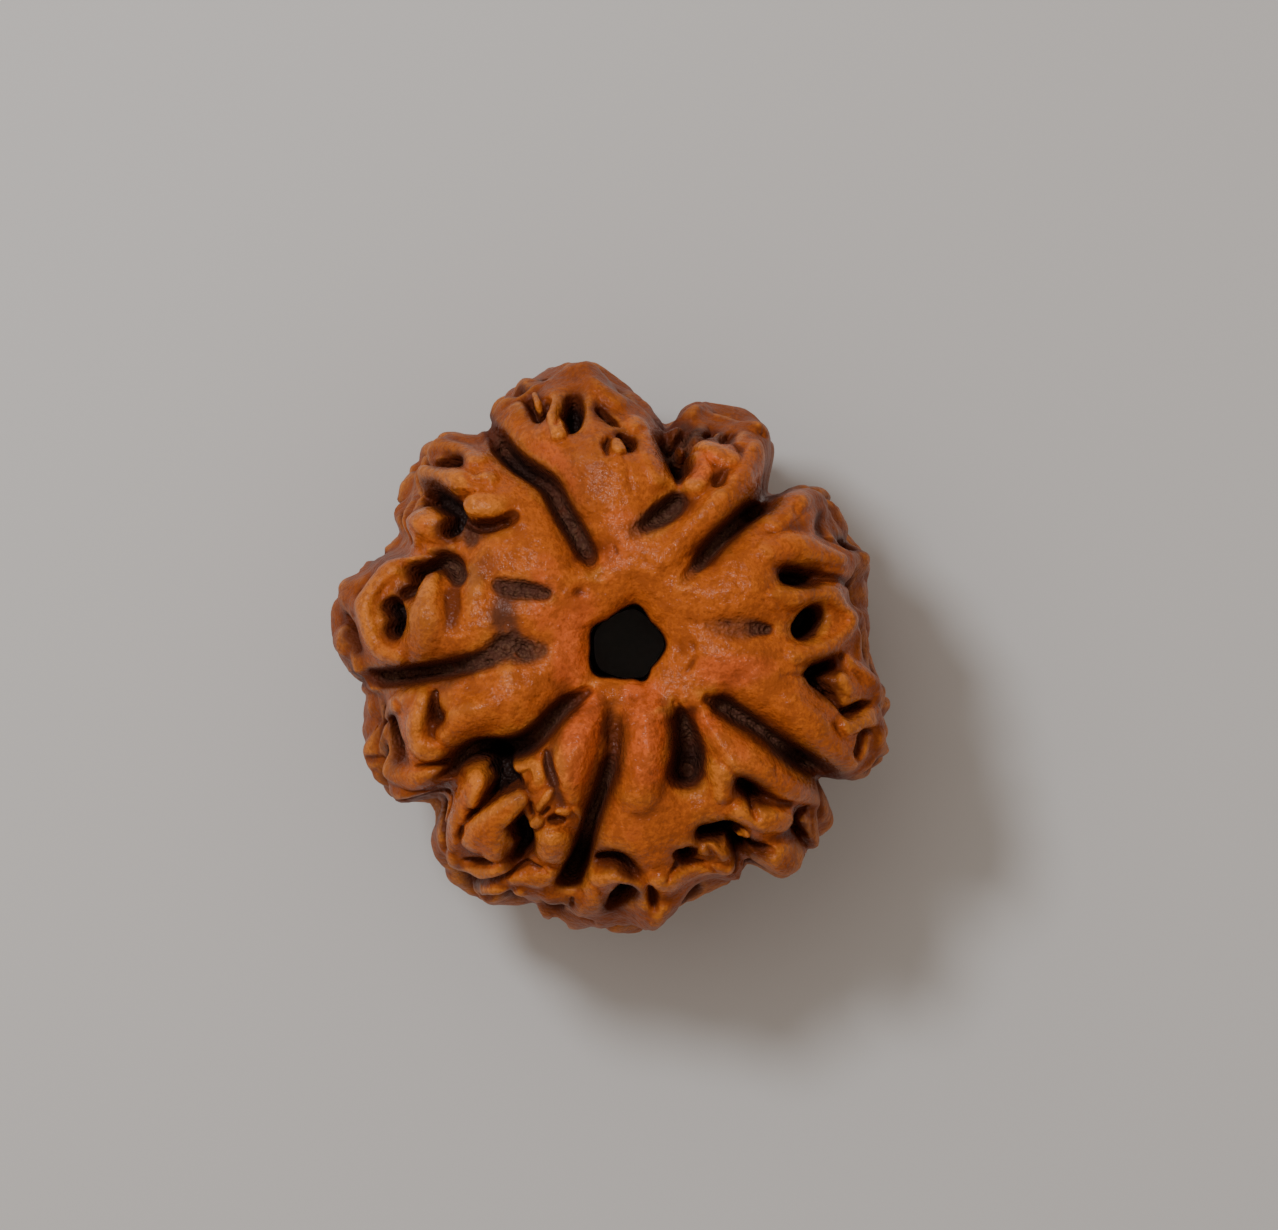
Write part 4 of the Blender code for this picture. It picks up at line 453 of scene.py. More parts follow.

# Patches stained a muted purplish brown with no hollow of their own, and strips of painted shadow
# along the sides of the fingers by the bore: x, y, half width, strength
STAINS_AND_SHADE = (
    ((-4.35, 2.10, 0.50, 1.00), (-4.45, 1.40, 0.70, 1.00), (-4.20, 0.80, 0.55, 0.90)),
    ((-7.30, -1.70, 0.35, 0.60), (-6.90, -1.45, 0.35, 0.60)),
    ((3.30, 10.30, 0.50, 0.90), (3.80, 9.90, 0.60, 0.90), (4.30, 9.40, 0.60, 0.80),
     (5.10, 9.20, 0.40, 0.60)),
    ((-11.30, 0.90, 0.40, 0.60), (-11.10, 0.20, 0.35, 0.60)),
    ((-10.20, -4.00, 0.40, 0.60), (-10.00, -4.40, 0.35, 0.60)),
    ((-1.80, -11.20, 0.60, 0.50), (-2.30, -11.20, 0.60, 0.50)),
    ((4.00, -9.00, 0.60, 0.50), (4.60, -9.00, 0.50, 0.50)),
    ((-0.90, 6.60, 1.00, 0.30), (-1.10, 8.00, 1.30, 0.32), (-0.40, 9.60, 1.20, 0.12)),
    ((-8.30, 1.60, 0.90, 0.24), (-7.70, 0.60, 1.00, 0.30), (-8.40, -0.20, 0.70, 0.24)),
    ((1.80, -6.80, 0.90, 0.08), (2.20, -8.00, 1.10, 0.08)),
    # The next four paths are painted shadow along the sides of the fingers by the bore.
    ((-1.95, -3.60, 0.18, 0.40), (-2.50, -4.60, 0.24, 0.80), (-2.35, -5.60, 0.26, 0.80),
     (-1.90, -6.60, 0.24, 0.50)),
    ((0.30, -2.10, 0.20, 0.35), (-0.05, -3.20, 0.24, 0.55), (-0.30, -4.60, 0.22, 0.60),
     (-0.70, -5.80, 0.20, 0.50)),
    ((2.30, -2.10, 0.20, 0.45), (2.55, -3.00, 0.22, 0.60), (2.60, -4.20, 0.20, 0.60)),
    ((0.70, -2.70, 0.18, 0.40), (0.78, -3.70, 0.20, 0.50), (0.62, -4.90, 0.20, 0.50),
     (0.25, -6.00, 0.18, 0.40)),
    ((-5.60, 3.20, 0.60, 0.60), (-5.10, 3.60, 0.60, 0.50)),
    ((-4.60, -5.60, 0.70, 0.60), (-3.70, -6.20, 0.60, 0.50), (-2.90, -7.20, 0.60, 0.40)),
)

# Patches of smooth, warm reddish orange: x, y, half width, strength
GLOWS = (
    ((-0.75, -2.10, 0.70, 0.70), (-1.15, -3.60, 0.95, 1.00), (-1.40, -5.00, 0.90, 0.80)),
    ((1.30, -2.00, 0.90, 0.80), (1.70, -3.60, 1.05, 1.00), (1.60, -5.00, 0.95, 0.80)),
    ((3.90, -3.30, 0.70, 0.70), (5.00, -4.20, 0.90, 0.25), (6.00, -4.60, 0.80, 0.15)),
    ((0.30, -6.90, 0.60, 0.30), (0.90, -7.60, 0.90, 0.30)),
    ((-1.30, 1.80, 0.90, 0.70), (-1.60, 0.60, 0.90, 0.70), (-1.50, -0.80, 0.90, 0.60)),
    ((-2.60, 3.40, 0.80, 0.60), (-2.60, 1.40, 0.80, 0.70)),
    ((0.30, 3.60, 0.90, 0.50), (0.30, 5.20, 0.90, 0.60), (1.10, 4.60, 0.90, 0.60)),
    ((4.30, -0.90, 0.70, 0.80), (5.60, -0.90, 0.70, 0.90), (6.60, -0.80, 0.60, 0.60)),
    ((3.40, 7.20, 0.60, 0.70), (4.20, 7.90, 0.80, 0.80), (5.10, 7.50, 0.60, 0.60)),
    ((-1.60, 6.00, 0.70, 0.50), (-2.30, 7.90, 0.70, 0.60), (-3.30, 8.70, 0.60, 0.50)),
    ((-7.80, 5.20, 0.50, 0.50), (-7.60, 5.60, 0.50, 0.50)),
)


def polar_table(points, blur_degrees):
    """Radius against azimuth of a ring of points, as a smooth table that closes on itself."""
    azimuth = np.radians(np.arange(TABLE_ROWS) * TABLE_STEP)
    offset = np.array(points) - np.array(BORE_MIDDLE)
    ring = np.interp(azimuth, np.arctan2(offset[:, 1], offset[:, 0]) % (2 * math.pi),
                     np.hypot(offset[:, 0], offset[:, 1]), period=2 * math.pi)
    waves = np.fft.rfftfreq(TABLE_ROWS, d=TABLE_STEP)
    damping = np.exp(-2.0 * (math.pi * waves * blur_degrees) ** 2)
    return np.fft.irfft(np.fft.rfft(ring) * damping, TABLE_ROWS)


def notch_table():
    """How far the clefts cut into the outline, against azimuth."""
    azimuth = np.radians(np.arange(TABLE_ROWS) * TABLE_STEP)
    cut = np.zeros(TABLE_ROWS)
    for x, y, half_width, depth in NOTCHES:
        place = math.atan2(y - BORE_MIDDLE[1], x - BORE_MIDDLE[0])
        radius = math.hypot(x - BORE_MIDDLE[0], y - BORE_MIDDLE[1])
        off = np.angle(np.exp(1j * (azimuth - place))) * radius
        cut = np.maximum(cut, depth * np.exp(-(off / half_width) ** 2))
    return cut


def look_up(table, azimuth):
    """Value of such a table at any azimuth in radians."""
    return np.interp(np.degrees(azimuth) % 360.0, np.arange(TABLE_ROWS) * TABLE_STEP, table,
                     period=360.0)


OUTER_SMOOTH = polar_table(OUTLINE, 9.0)
OUTLINE_TABLE = polar_table(OUTLINE, 1.8) - notch_table()
BORE_TABLE = polar_table(BORE_RIM, 5.0)


def bore_radius(azimuth, height):
    """The bore follows its traced rim above and rounds off towards the underside."""
    share = np.clip(height / BEAD_HEIGHT, 0.0, 1.0)
    return BORE_RADIUS_BELOW + (look_up(BORE_TABLE, azimuth) - BORE_RADIUS_BELOW) * share ** 0.5


def section(azimuth, turn):
    """Point of the plain bead: turn 0 to 1 climbs out of the bore to the crown, 1 to 3 runs over the
    widest level at 2 to the underside, 3 to 4 runs into the bore again, 4 to 5 climbs the bore."""
    half = BEAD_HEIGHT / 2
    outer = look_up(OUTER_SMOOTH, azimuth)
    quarter = math.pi / 2
    lean = (2.0 - np.clip(turn, 1.0, 3.0)) * quarter
    reach = np.clip(np.cos(lean), 0.0, 1.0) ** SECTION_POWER
    outside_radius = CROWN_RADIUS + (outer - CROWN_RADIUS) * reach
    outside_height = half + half * np.sign(lean) * np.abs(np.sin(lean)) ** SECTION_POWER
    dip = np.where(turn < 2.0, 1.0 - np.clip(turn, 0.0, 1.0), np.clip(turn - 3.0, 0.0, 1.0)) * quarter
    fall = FUNNEL_DROP * (1.0 - np.cos(dip))
    inside_height = np.where(turn < 2.0, BEAD_HEIGHT - fall, fall)
    climb = np.clip(turn - 4.0, 0.0, 1.0)
    wall_height = FUNNEL_DROP + (BEAD_HEIGHT - 2 * FUNNEL_DROP) * climb
    inside_height = np.where(turn > 4.0, wall_height, inside_height)
    bore = bore_radius(azimuth, inside_height)
    inside_radius = CROWN_RADIUS - (CROWN_RADIUS - bore) * np.sin(dip)
    on_outside = (turn >= 1.0) & (turn <= 3.0)
    radius = np.where(on_outside, outside_radius, inside_radius)
    height = np.where(on_outside, outside_height, inside_height)
    return np.stack((BORE_MIDDLE[0] + radius * np.cos(azimuth),
                     BORE_MIDDLE[1] + radius * np.sin(azimuth), height), axis=-1)


def turn_below(x, y):
    """Azimuth and turn of the upper surface straight below a point seen from above."""
    azimuth = math.atan2(y - BORE_MIDDLE[1], x - BORE_MIDDLE[0])
    radius = math.hypot(x - BORE_MIDDLE[0], y - BORE_MIDDLE[1])
    outer = float(look_up(OUTER_SMOOTH, np.array(azimuth)))
    bore = float(look_up(BORE_TABLE, np.array(azimuth)))
    if radius >= CROWN_RADIUS:
        share = min((radius - CROWN_RADIUS) / (outer - CROWN_RADIUS), 0.995)
        return azimuth, 2.0 - math.acos(share ** (1 / SECTION_POWER)) / (math.pi / 2)
    share = min((CROWN_RADIUS - radius) / (CROWN_RADIUS - bore), 0.995)
    return azimuth, 1.0 - math.asin(share) / (math.pi / 2)


def even_rows(count):
    """Turns of the grid's rows, spaced evenly along the section."""
    fine = np.linspace(0.0, 5.0, 4001)
    points = section(np.zeros_like(fine), fine)
    run = np.concatenate(([0.0], np.cumsum(np.linalg.norm(np.diff(points, axis=0), axis=1))))
    return np.interp(np.arange(count) / count * run[-1], run, fine)


def rounded(path, pieces=4):
    """Catmull-Rom curve through the points of a path, each point carrying its width and depth."""
    knots = np.array(path)
    if len(knots) < 3:
        steps = np.linspace(0.0, 1.0, pieces + 1)[:, None]
        return knots[0] + (knots[-1] - knots[0]) * steps
    ends = np.vstack((2 * knots[0] - knots[1], knots, 2 * knots[-1] - knots[-2]))
    step = np.linspace(0.0, 1.0, pieces, endpoint=False)[:, None]
    spans = [0.5 * (2 * b + (c - a) * step + (2 * a - 5 * b + 4 * c - d) * step ** 2
                    + (3 * b - a - 3 * c + d) * step ** 3)
             for a, b, c, d in zip(ends, ends[1:], ends[2:], ends[3:])]
    return np.vstack(spans + [knots[-1:]])


def laid_on_top(path):
    """A path seen from above, laid on the upper surface as x, y, z, half width, depth."""
    laid = []
    for x, y, half_width, depth in rounded(path):
        azimuth, turn = turn_below(x, y)
        height = float(section(np.array(azimuth), np.array(turn))[2])
        laid.append((x, y, height, half_width, depth))
    return np.array(laid)


def all_on_top(paths):
    """Several paths seen from above, laid on the upper surface."""
    return [laid_on_top(path) for path in paths]


def laid_on_flank(azimuths, turns, half_widths, depths):
    """A path given by azimuth and turn, as x, y, z, half width, depth."""
    points = section(np.array(azimuths), np.array(turns))
    return rounded(np.column_stack((points, half_widths, depths)))


class Cells:
    """Points sorted into cubes, so that those inside a box are found without trying them all."""

    def __init__(self, points, size=1.2):
        self.all = points
        self.size = size
        keys = self.key(*np.floor(points / size).astype(np.int64).T)
        self.order = np.argsort(keys, kind="stable")
        self.keys = keys[self.order]

    @staticmethod
    def key(x, y, z):
        """One number for a cube, running up along z first."""
        return ((x + 64) * 128 + y + 64) * 128 + z + 64

    def inside(self, low, high):
        """Indices of the points inside a box."""
        first = np.floor(low / self.size).astype(np.int64)
        last = np.floor(high / self.size).astype(np.int64)
        x, y = np.meshgrid(np.arange(first[0], last[0] + 1), np.arange(first[1], last[1] + 1))
        starts = np.searchsorted(self.keys, self.key(x.ravel(), y.ravel(), first[2]))
        ends = np.searchsorted(self.keys, self.key(x.ravel(), y.ravel(), last[2]), side="right")
        found = np.concatenate([self.order[a:b] for a, b in zip(starts, ends)])
        local = self.all[found]
        return found[((local > low) & (local < high)).all(axis=1)]


def nearest(cells, path, weight, reach):
    """Distance of the points near a path to it: first in half widths, with the half width and depth
    where that is least, then in millimetres, with the depth where that is least.

    Heights count by weight, so a mark on a steep flank is as wide as it looks from above.
    Only points inside the path's box, grown by reach, are measured."""
    low = path[:, :3].min(axis=0) - reach
    high = path[:, :3].max(axis=0) + reach
    low[2] -= reach * (1 / weight - 1)
    high[2] += reach * (1 / weight - 1)
    near = cells.inside(low, high)
    x, y, z = np.ascontiguousarray((cells.all[near] * (1.0, 1.0, weight)).T)
    ratio = np.full(len(near), np.inf)
    distance = np.full(len(near), np.inf)
    width = np.zeros(len(near))
    depth = np.zeros(len(near))
    level = np.zeros(len(near))
    knots = path * (1.0, 1.0, weight, 1.0, 1.0)
    for start, end in zip(knots[:-1], knots[1:]):
        run_x, run_y, run_z, wider, deeper = end - start
        from_x, from_y, from_z = x - start[0], y - start[1], z - start[2]
        length = max(run_x ** 2 + run_y ** 2 + run_z ** 2, 1e-9)
        along = np.clip((from_x * run_x + from_y * run_y + from_z * run_z) / length, 0.0, 1.0)
        gap = np.sqrt((from_x - along * run_x) ** 2 + (from_y - along * run_y) ** 2
                      + (from_z - along * run_z) ** 2)
        wide = start[3] + wider * along
        here = start[4] + deeper * along
        closer = gap / wide < ratio
        ratio = np.where(closer, gap / wide, ratio)
        width = np.where(closer, wide, width)
        depth = np.where(closer, here, depth)
        level = np.where(gap < distance, here, level)
        distance = np.minimum(distance, gap)
    return near, ratio, width, depth, distance, level


def ease(start, end, value):
    """Smooth step from 0 at start to 1 at end."""
    share = np.clip((value - start) / (end - start), 0.0, 1.0)
    return share * share * (3.0 - 2.0 * share)


def pit_form(ratio):
    """Cross-section of a pit: a floor, steep walls and a softly rounded lip."""
    return 0.84 * (1.0 - ease(0.30, 1.50, ratio)) + 0.16 * np.exp(-(ratio / 1.9) ** 2)


def finger_fall(ratio, width, steepness):
    """How far a finger or knob has fallen from its crest: round on top, steep past its half width."""
    return width * (0.9 - 0.9 * np.sqrt(1.0 - 0.95 * np.clip(ratio, 0.0, 1.0) ** 2)
                    + steepness * np.clip(ratio - 1.0, 0.0, None))


def swell(points, size, seed):
    """Smooth noise between -1 and 1 from a seeded lattice, blended over cells of the given size."""
    lattice = np.random.default_rng(seed).uniform(-1.0, 1.0, (32, 32, 32))
    spot = points / size + 100.0
    cell = np.floor(spot).astype(int)
    share = spot - cell
    share = share ** 3 * (share * (share * 6.0 - 15.0) + 10.0)
    total = np.zeros(len(points))
    for corner in range(8):
        step = np.array((corner & 1, corner >> 1 & 1, corner >> 2 & 1))
        index = (cell + step) % 32
        part = np.where(step, share, 1.0 - share).prod(axis=1)
        total += part * lattice[index[:, 0], index[:, 1], index[:, 2]]
    return total


def cleft_paths():
    """The ten clefts: over the top as traced, then down the flank to the bore's lower mouth."""
    draw = np.random.default_rng(SEED)
    paths = []
    for path, waist_depth in CLEFTS:
        paths.append(laid_on_top(path))
        x, y, half_width, depth = path[-1]
        azimuth, turn = turn_below(x, y)
        start = max(turn, 1.96) if waist_depth < 0.5 else turn
        turns = np.array((start, 2.0, 2.2, 2.45, 2.7, 2.95, 3.2, 3.45, 3.7))
        sway = np.cumsum(draw.uniform(-0.05, 0.05, len(turns)))
        sway[:2] = 0.0
        first_width = min(half_width, 0.36)
        widths = np.array((first_width, 0.34, 0.34, 0.38, 0.40, 0.40, 0.36, 0.30, 0.20))
        widths[2:] *= draw.uniform(0.75, 1.3, len(widths) - 2)
        depths = np.array((min(depth, waist_depth), waist_depth, 1.3, 1.5, 1.6, 1.5, 1.2, 0.9, 0.3))
        paths.append(laid_on_flank(azimuth + sway, turns, widths, depths))
    return paths


class Placed:
    """Round marks placed so far, each as x, y, z and radius."""

    def __init__(self, rows):
        self.rows = np.array(rows)

    def add(self, rows):
        """Takes in more marks."""
        self.rows = np.vstack((self.rows, rows))

    def clear(self, rows, gap):
        """Whether all of some new marks keep their gap to those already placed."""
        apart = np.linalg.norm(self.rows[:, None, :3] - rows[None, :, :3], axis=2)
        return bool((apart > self.rows[:, None, 3] + rows[None, :, 3] + gap).all())


def short_mark(azimuth, turn, length, heading, bend, half_widths, depths, top_turn=0.0):
    """A short curved mark of three points on the outside. They lie along its heading, pushed aside
    by the bend times the square of their way from the middle, and none goes above a given turn."""
    spot = section(np.array(azimuth), np.array(turn))
    radius = max(math.hypot(spot[0] - BORE_MIDDLE[0], spot[1] - BORE_MIDDLE[1]), 2.0)
    steps = np.linspace(-0.5, 0.5, 3)
    across = (steps * math.cos(heading) + bend * steps ** 2) * length / radius
    down = steps * math.sin(heading) * length / FLANK_TURN_LENGTH
    return laid_on_flank(azimuth + across, np.maximum(turn + down, top_turn), half_widths, depths)


def flank_pits(draw, placed):
    """Short pits thrown at random, each kept only where it stays clear of what is placed already."""
    pits = []
    for _ in range(FLANK_PITS * 12):
        if len(pits) >= FLANK_PITS:
            break
        azimuth = draw.uniform(0.0, 2 * math.pi)
        turn = draw.uniform(FLANK_TOP_TURN, 3.55)
        length = draw.uniform(0.6, 2.4)
        heading = draw.normal(math.pi / 2, 0.7)
        half_width = 0.28 + 0.32 * draw.random() ** 2
        depth = draw.uniform(0.8, 1.7) * (1.0 if turn < 2.75 else 0.75)
        bend = draw.uniform(-0.5, 0.5)
        taper = np.array((0.7, 1.0, 0.8))
        path = short_mark(azimuth, turn, length, heading, bend, half_width * taper, depth * taper,
                          FLANK_TOP_TURN)
        if placed.clear(path[::3, :4], 0.75):
            pits.append(path)
            placed.add(path[::2, :4])
    return pits


def flank_knobs(draw, placed):
    """Round knobs thrown at random, each kept only where it stays clear of what is placed already."""
    knobs = []
    for _ in range(FLANK_KNOBS):
        azimuth = draw.uniform(0.0, 2 * math.pi)
        turn = draw.uniform(FLANK_TOP_TURN + 0.1, 3.5)
        half_width = draw.uniform(0.7, 1.25)
        spot = section(np.array((azimuth, azimuth)), np.array((turn, turn + 0.03)))
        row = np.array([(*spot[0], half_width * 0.5)])
        if placed.clear(row, 0.1):
            height = draw.uniform(0.25, 0.5)
            knobs.append(np.column_stack((spot, (half_width, half_width), (height, height))))
            placed.add(row)
    return knobs


def bulges(points, size, seed):
    """Rounded bulges parted by tight creases: the size of a smooth noise, softened where it is zero."""
    bend = np.stack([swell(points, size * 1.6, seed + k) for k in (1, 2, 3)], axis=-1) * size * 0.35
    return np.sqrt(swell(points + bend, size, seed) ** 2 + 0.05) - 0.33


def lifted(normal):
    """The directions in which the relief moves: the normals, turned upward where they face up."""
    turned = normal + (0.0, 0.0, 1.0) * (LIFT * ease(0.05, 0.6, normal[..., 2:]))
    return turned / np.linalg.norm(turned, axis=-1, keepdims=True)


def raised_by(fingers, cells, base, steepness, blend):
    """The base with rounded bodies standing on it; where they overlap the highest shows."""
    top = np.full(len(base), -9.0)
    for path in fingers:
        near, ratio, width, crest, _, _ = nearest(cells, path, HEIGHT_WEIGHT, 1.4)
        top[near] = np.maximum(top[near], CREST_GAIN * crest - finger_fall(ratio, width, steepness))
    return 0.5 * (base + top + np.sqrt((base - top) ** 2 + blend ** 2))


def patches(cells, paths, reach):
    """Strength of patches at every point: full inside and fading out past their half width."""
    most = np.zeros(len(cells.all))
    for path in all_on_top(paths):
        near, ratio, _, strength, _, _ = nearest(cells, path, HEIGHT_WEIGHT, reach)
        most[near] = np.maximum(most[near], strength * (1.0 - ease(0.45, 1.35, ratio)))
    return most


def fine_marks():
    """Small dents and short wrinkles thrown at random over the whole outside of the bead."""
    draw = np.random.default_rng(SEED + 4)
    marks = []
    for _ in range(FINE_MARKS):
        azimuth = draw.uniform(0.0, 2 * math.pi)
        turn = draw.uniform(0.55, 3.5)
        length = draw.uniform(0.1, 1.1)
        heading = draw.uniform(0.0, math.pi)
        half_width = draw.uniform(0.08, 0.15)
        depth = draw.uniform(0.06, 0.20) * (1.0 if turn < 1.6 else 1.7)
        bend = draw.uniform(-0.6, 0.6)
        marks.append(short_mark(azimuth, turn, length, heading, bend,
                                half_width * np.array((0.7, 1.0, 0.7)),
                                depth * np.array((0.5, 1.0, 0.5))))
    return marks


def dip_beside(depth, reach, distance, level):
    """Soft dip of the skin beside a hollow: the bell curve of the distance over the reach, times a
    depth that is full beside hollows of level 1 or more and less beside shallower ones."""
    return depth * np.clip(level, 0.0, 1.0) * np.exp(-(distance / reach) ** 2)


def pits_sunk(cells, top_pits, pits):
    """Depth of the pits, and of the soft dip round them. Where pits overlap, their depth is the root
    of the sum of their powers, which is close to the deepest of them."""
    hole = np.zeros(len(cells.all))
    roll = np.zeros(len(cells.all))
    for path, weight in [(path, TILT_WEIGHT) for path in top_pits] + [(path, 1.0) for path in pits]:
        near, ratio, _, depth, distance, level = nearest(cells, path, weight, 1.8)
        hole[near] += (depth * pit_form(ratio)) ** PIT_BLEND
        dip = dip_beside(PIT_ROLL_DEPTH, PIT_ROLL_REACH, distance, level)
        roll[near] = np.maximum(roll[near], dip)
    return hole ** (1 / PIT_BLEND), roll


def clefts_cut(cells, clefts):
    """Depth of the clefts and the fine pits, of the shoulders that fall towards the clefts, and how
    thick the grains lie on the cleft floors: less in the shallowest and in the deepest parts."""
    cut = np.zeros(len(cells.all))
    shoulder = np.zeros(len(cells.all))
    cleft_floor = np.zeros(len(cells.all))
    for path in clefts:
        near, ratio, _, depth, distance, level = nearest(cells, path, HEIGHT_WEIGHT, 2.7)
        cut[near] += (depth * pit_form(ratio)) ** PIT_BLEND
        dip = dip_beside(SHOULDER_DEPTH, SHOULDER_REACH, distance, level)
        shoulder[near] = np.maximum(shoulder[near], dip)
        floor = ease(0.6, 1.2, depth) * (1.0 - ease(0.5, 1.1, ratio))
        floor = floor * (1.0 - 0.7 * ease(1.5, 1.9, depth))
        cleft_floor[near] = np.maximum(cleft_floor[near], floor)
    for path in all_on_top(FINE_PITS) + fine_marks():
        near, ratio, _, depth, _, _ = nearest(cells, path, TILT_WEIGHT, 0.8)
        cut[near] += (depth * np.exp(-(ratio / 1.45) ** 2)) ** PIT_BLEND
    return cut ** (1 / PIT_BLEND), shoulder, cleft_floor


def relief(points, shape):
    """How far each point of the plain bead moves, with the fields that colour it.

    Fingers and knobs stand on the base, pits sink both, tongues reach over the pits, and the clefts
    cut everything. Bulges and smooth noises finish the skin, and crusts of grains lie on the cleft
    floors."""
    clefts = cleft_paths()
    top_pits = all_on_top(PITS)
    draw = np.random.default_rng(SEED + 1)
    placed = Placed(np.vstack(clefts + top_pits)[:, :4])
    pits = flank_pits(draw, placed)
    knobs = flank_knobs(draw, placed)
    cells = Cells(points)
    on_flank = 1.0 - ease(BEAD_HEIGHT * 0.70, BEAD_HEIGHT * 0.93, points[:, 2])
    out = ease(5.0, 7.5, np.hypot(points[:, 0] - BORE_MIDDLE[0], points[:, 1] - BORE_MIDDLE[1]))
    base = -BASE_DROP * out * (1.0 - on_flank)
    move = raised_by(all_on_top(FINGERS) + knobs, cells, base, FINGER_SLOPE, FINGER_BLEND)
    hole, roll = pits_sunk(cells, top_pits, pits)
    move -= hole + roll
    open_part = move
    move = raised_by(all_on_top(TONGUES + FINE_TONGUES), cells, move, TONGUE_SLOPE, TONGUE_BLEND)
    open_share = 1.0 - ease(0.05, 0.5, move - open_part)
    cut, shoulder, cleft_floor = clefts_cut(cells, clefts)
    move -= cut + shoulder
    in_reach = 1.0 - ease(BEAD_HEIGHT * 0.52, BEAD_HEIGHT * 0.84, points[:, 2])
    bulging = BULGE_ON_TOP + (1.0 - BULGE_ON_TOP) * in_reach
    crust = np.maximum(patches(cells, CRUSTS, 1.2), cleft_floor)
    move += SWELL_HEIGHT * swell(points, SWELL_SIZE, SEED + 2)
    move += BULGE_HEIGHT * bulging * bulges(points, BULGE_SIZE, SEED + 3)
    move += shape.skin_height * (swell(points, WIDE_RIPPLE, SEED + 9)
                                 + swell(points, NARROW_RIPPLE, SEED + 10))
    move += shape.crust_height * crust * swell(points, CRUMB_SIZE, SEED + 11)
    fields = {
        # Depth of the hollows, which also drives their painted shade.
        "hollow": np.clip(np.maximum(hole * open_share, cut) / DEEPEST_HOLLOW, 0.0, 1.0),
        "crust": crust,
        # Stains, with some strips of painted shadow.
        "stain_and_shade": patches(cells, STAINS_AND_SHADE, 1.2),
        "glow": patches(cells, GLOWS, 2.0),
        "flank": on_flank,
        # Painted shade beside pits and clefts, where the skin dips towards them.
        "shade_beside_hollows": np.maximum((roll / PIT_ROLL_DEPTH) ** 2 * open_share, (shoulder / SHOULDER_DEPTH) ** 4),
    }
    return move, fields


def held_to_outline(points):
    """Moves the flank in or out so that the bead's outline from above is the traced one.

    The widest radius is measured in each degree round the bore, and the points that come near it
    move by what it lacks, the widest ones fully and those at half the width not at all. No pass
    pushes out by more than its share, and what is lacking is evened out over the degrees beside, so
    that the mouth of a cleft stays in."""
    middle, about = np.array(BORE_MIDDLE), np.arange(360) + 0.5
    for most in OUTLINE_PASSES:
        offset = points[..., :2] - middle
        radius = np.hypot(offset[..., 0], offset[..., 1])
        degrees = np.degrees(np.arctan2(offset[..., 1], offset[..., 0])) % 360.0
        widest = np.zeros(360)
        np.maximum.at(widest, degrees.astype(int).ravel() % 360, radius.ravel())
        now = np.interp(degrees, about, widest, period=360.0)
        lack = np.minimum(look_up(OUTLINE_TABLE, np.radians(about)) - widest, most)
        lack = np.median([np.roll(lack, step) for step in range(-3, 4)], axis=0)
        lack = (lack + np.roll(lack, 1) + np.roll(lack, -1)) / 3.0
        lack = np.interp(degrees, about, lack, period=360.0)
        share = (radius - CROWN_RADIUS) / (now - CROWN_RADIUS)
        grow = 1.0 + lack / radius * ease(0.5, 1.0, share)
        points = np.concatenate((middle + offset * grow[..., None], points[..., 2:]), axis=-1)
    return points


def blurred(field, steps):
    """A grid field averaged over a square of neighbours, twice, round both ways of the grid."""
    for _ in range(2):
        for axis in (0, 1):
            total = np.cumsum(np.concatenate((field, np.take(field, range(2 * steps + 1), axis=axis)),
                                             axis=axis), axis=axis)
            first = np.take(total, range(field.shape[axis]), axis=axis)
            last = np.take(total, range(2 * steps + 1, field.shape[axis] + 2 * steps + 1), axis=axis)
            field = np.roll((last - first) / (2 * steps + 1), steps + 1, axis=axis)
    return field


def bead_grid(shape):
    """Points of the bead in millimetres, rows along the section and columns round it, with fields.

    Each point of the plain section moves by the relief. Crest is the height of a point above the
    average of its near neighbours, and lowness its depth below the average of a wider square. The
    lowest knobs are worn flat at one level."""
    rows, columns = shape.rows, shape.columns
    azimuth, turn = np.meshgrid(np.arange(columns) / columns * 2 * math.pi, even_rows(rows))
    plain = section(azimuth, turn)
    across = np.roll(plain, -1, axis=1) - np.roll(plain, 1, axis=1)
    along = np.roll(plain, -1, axis=0) - np.roll(plain, 1, axis=0)
    normal = np.cross(along, across)
    normal /= np.linalg.norm(normal, axis=-1, keepdims=True)
    in_bore = ease(0.0, 0.35, turn) * (1.0 - ease(3.75, 4.0, turn))
    move, fields = relief(plain.reshape(-1, 3), shape)
    move = move.reshape(rows, columns)
    move = move * (BORE_RELIEF + (1.0 - BORE_RELIEF) * in_bore)
    points = held_to_outline(plain + lifted(normal) * move[..., None])
    points[..., 2] = np.maximum(points[..., 2], points[..., 2].min() + REST_CUT)
    fields = {name: field.reshape(rows, columns) for name, field in fields.items()}
    # Crest lightens the colour, partly as painted highlight; lowness darkens it as painted shade.
    fields["crest"] = np.clip(0.5 + (move - blurred(move, CREST_STEPS)) * CREST_CONTRAST, 0.0, 1.0)
    fields["lowness"] = np.clip((blurred(move, LOWNESS_STEPS) - move) * LOWNESS_CONTRAST, 0.0, 1.0)
    # Share of the bore, for the painted shade of the bore.
    fields["bore"] = 1.0 - in_bore
    return points, fields


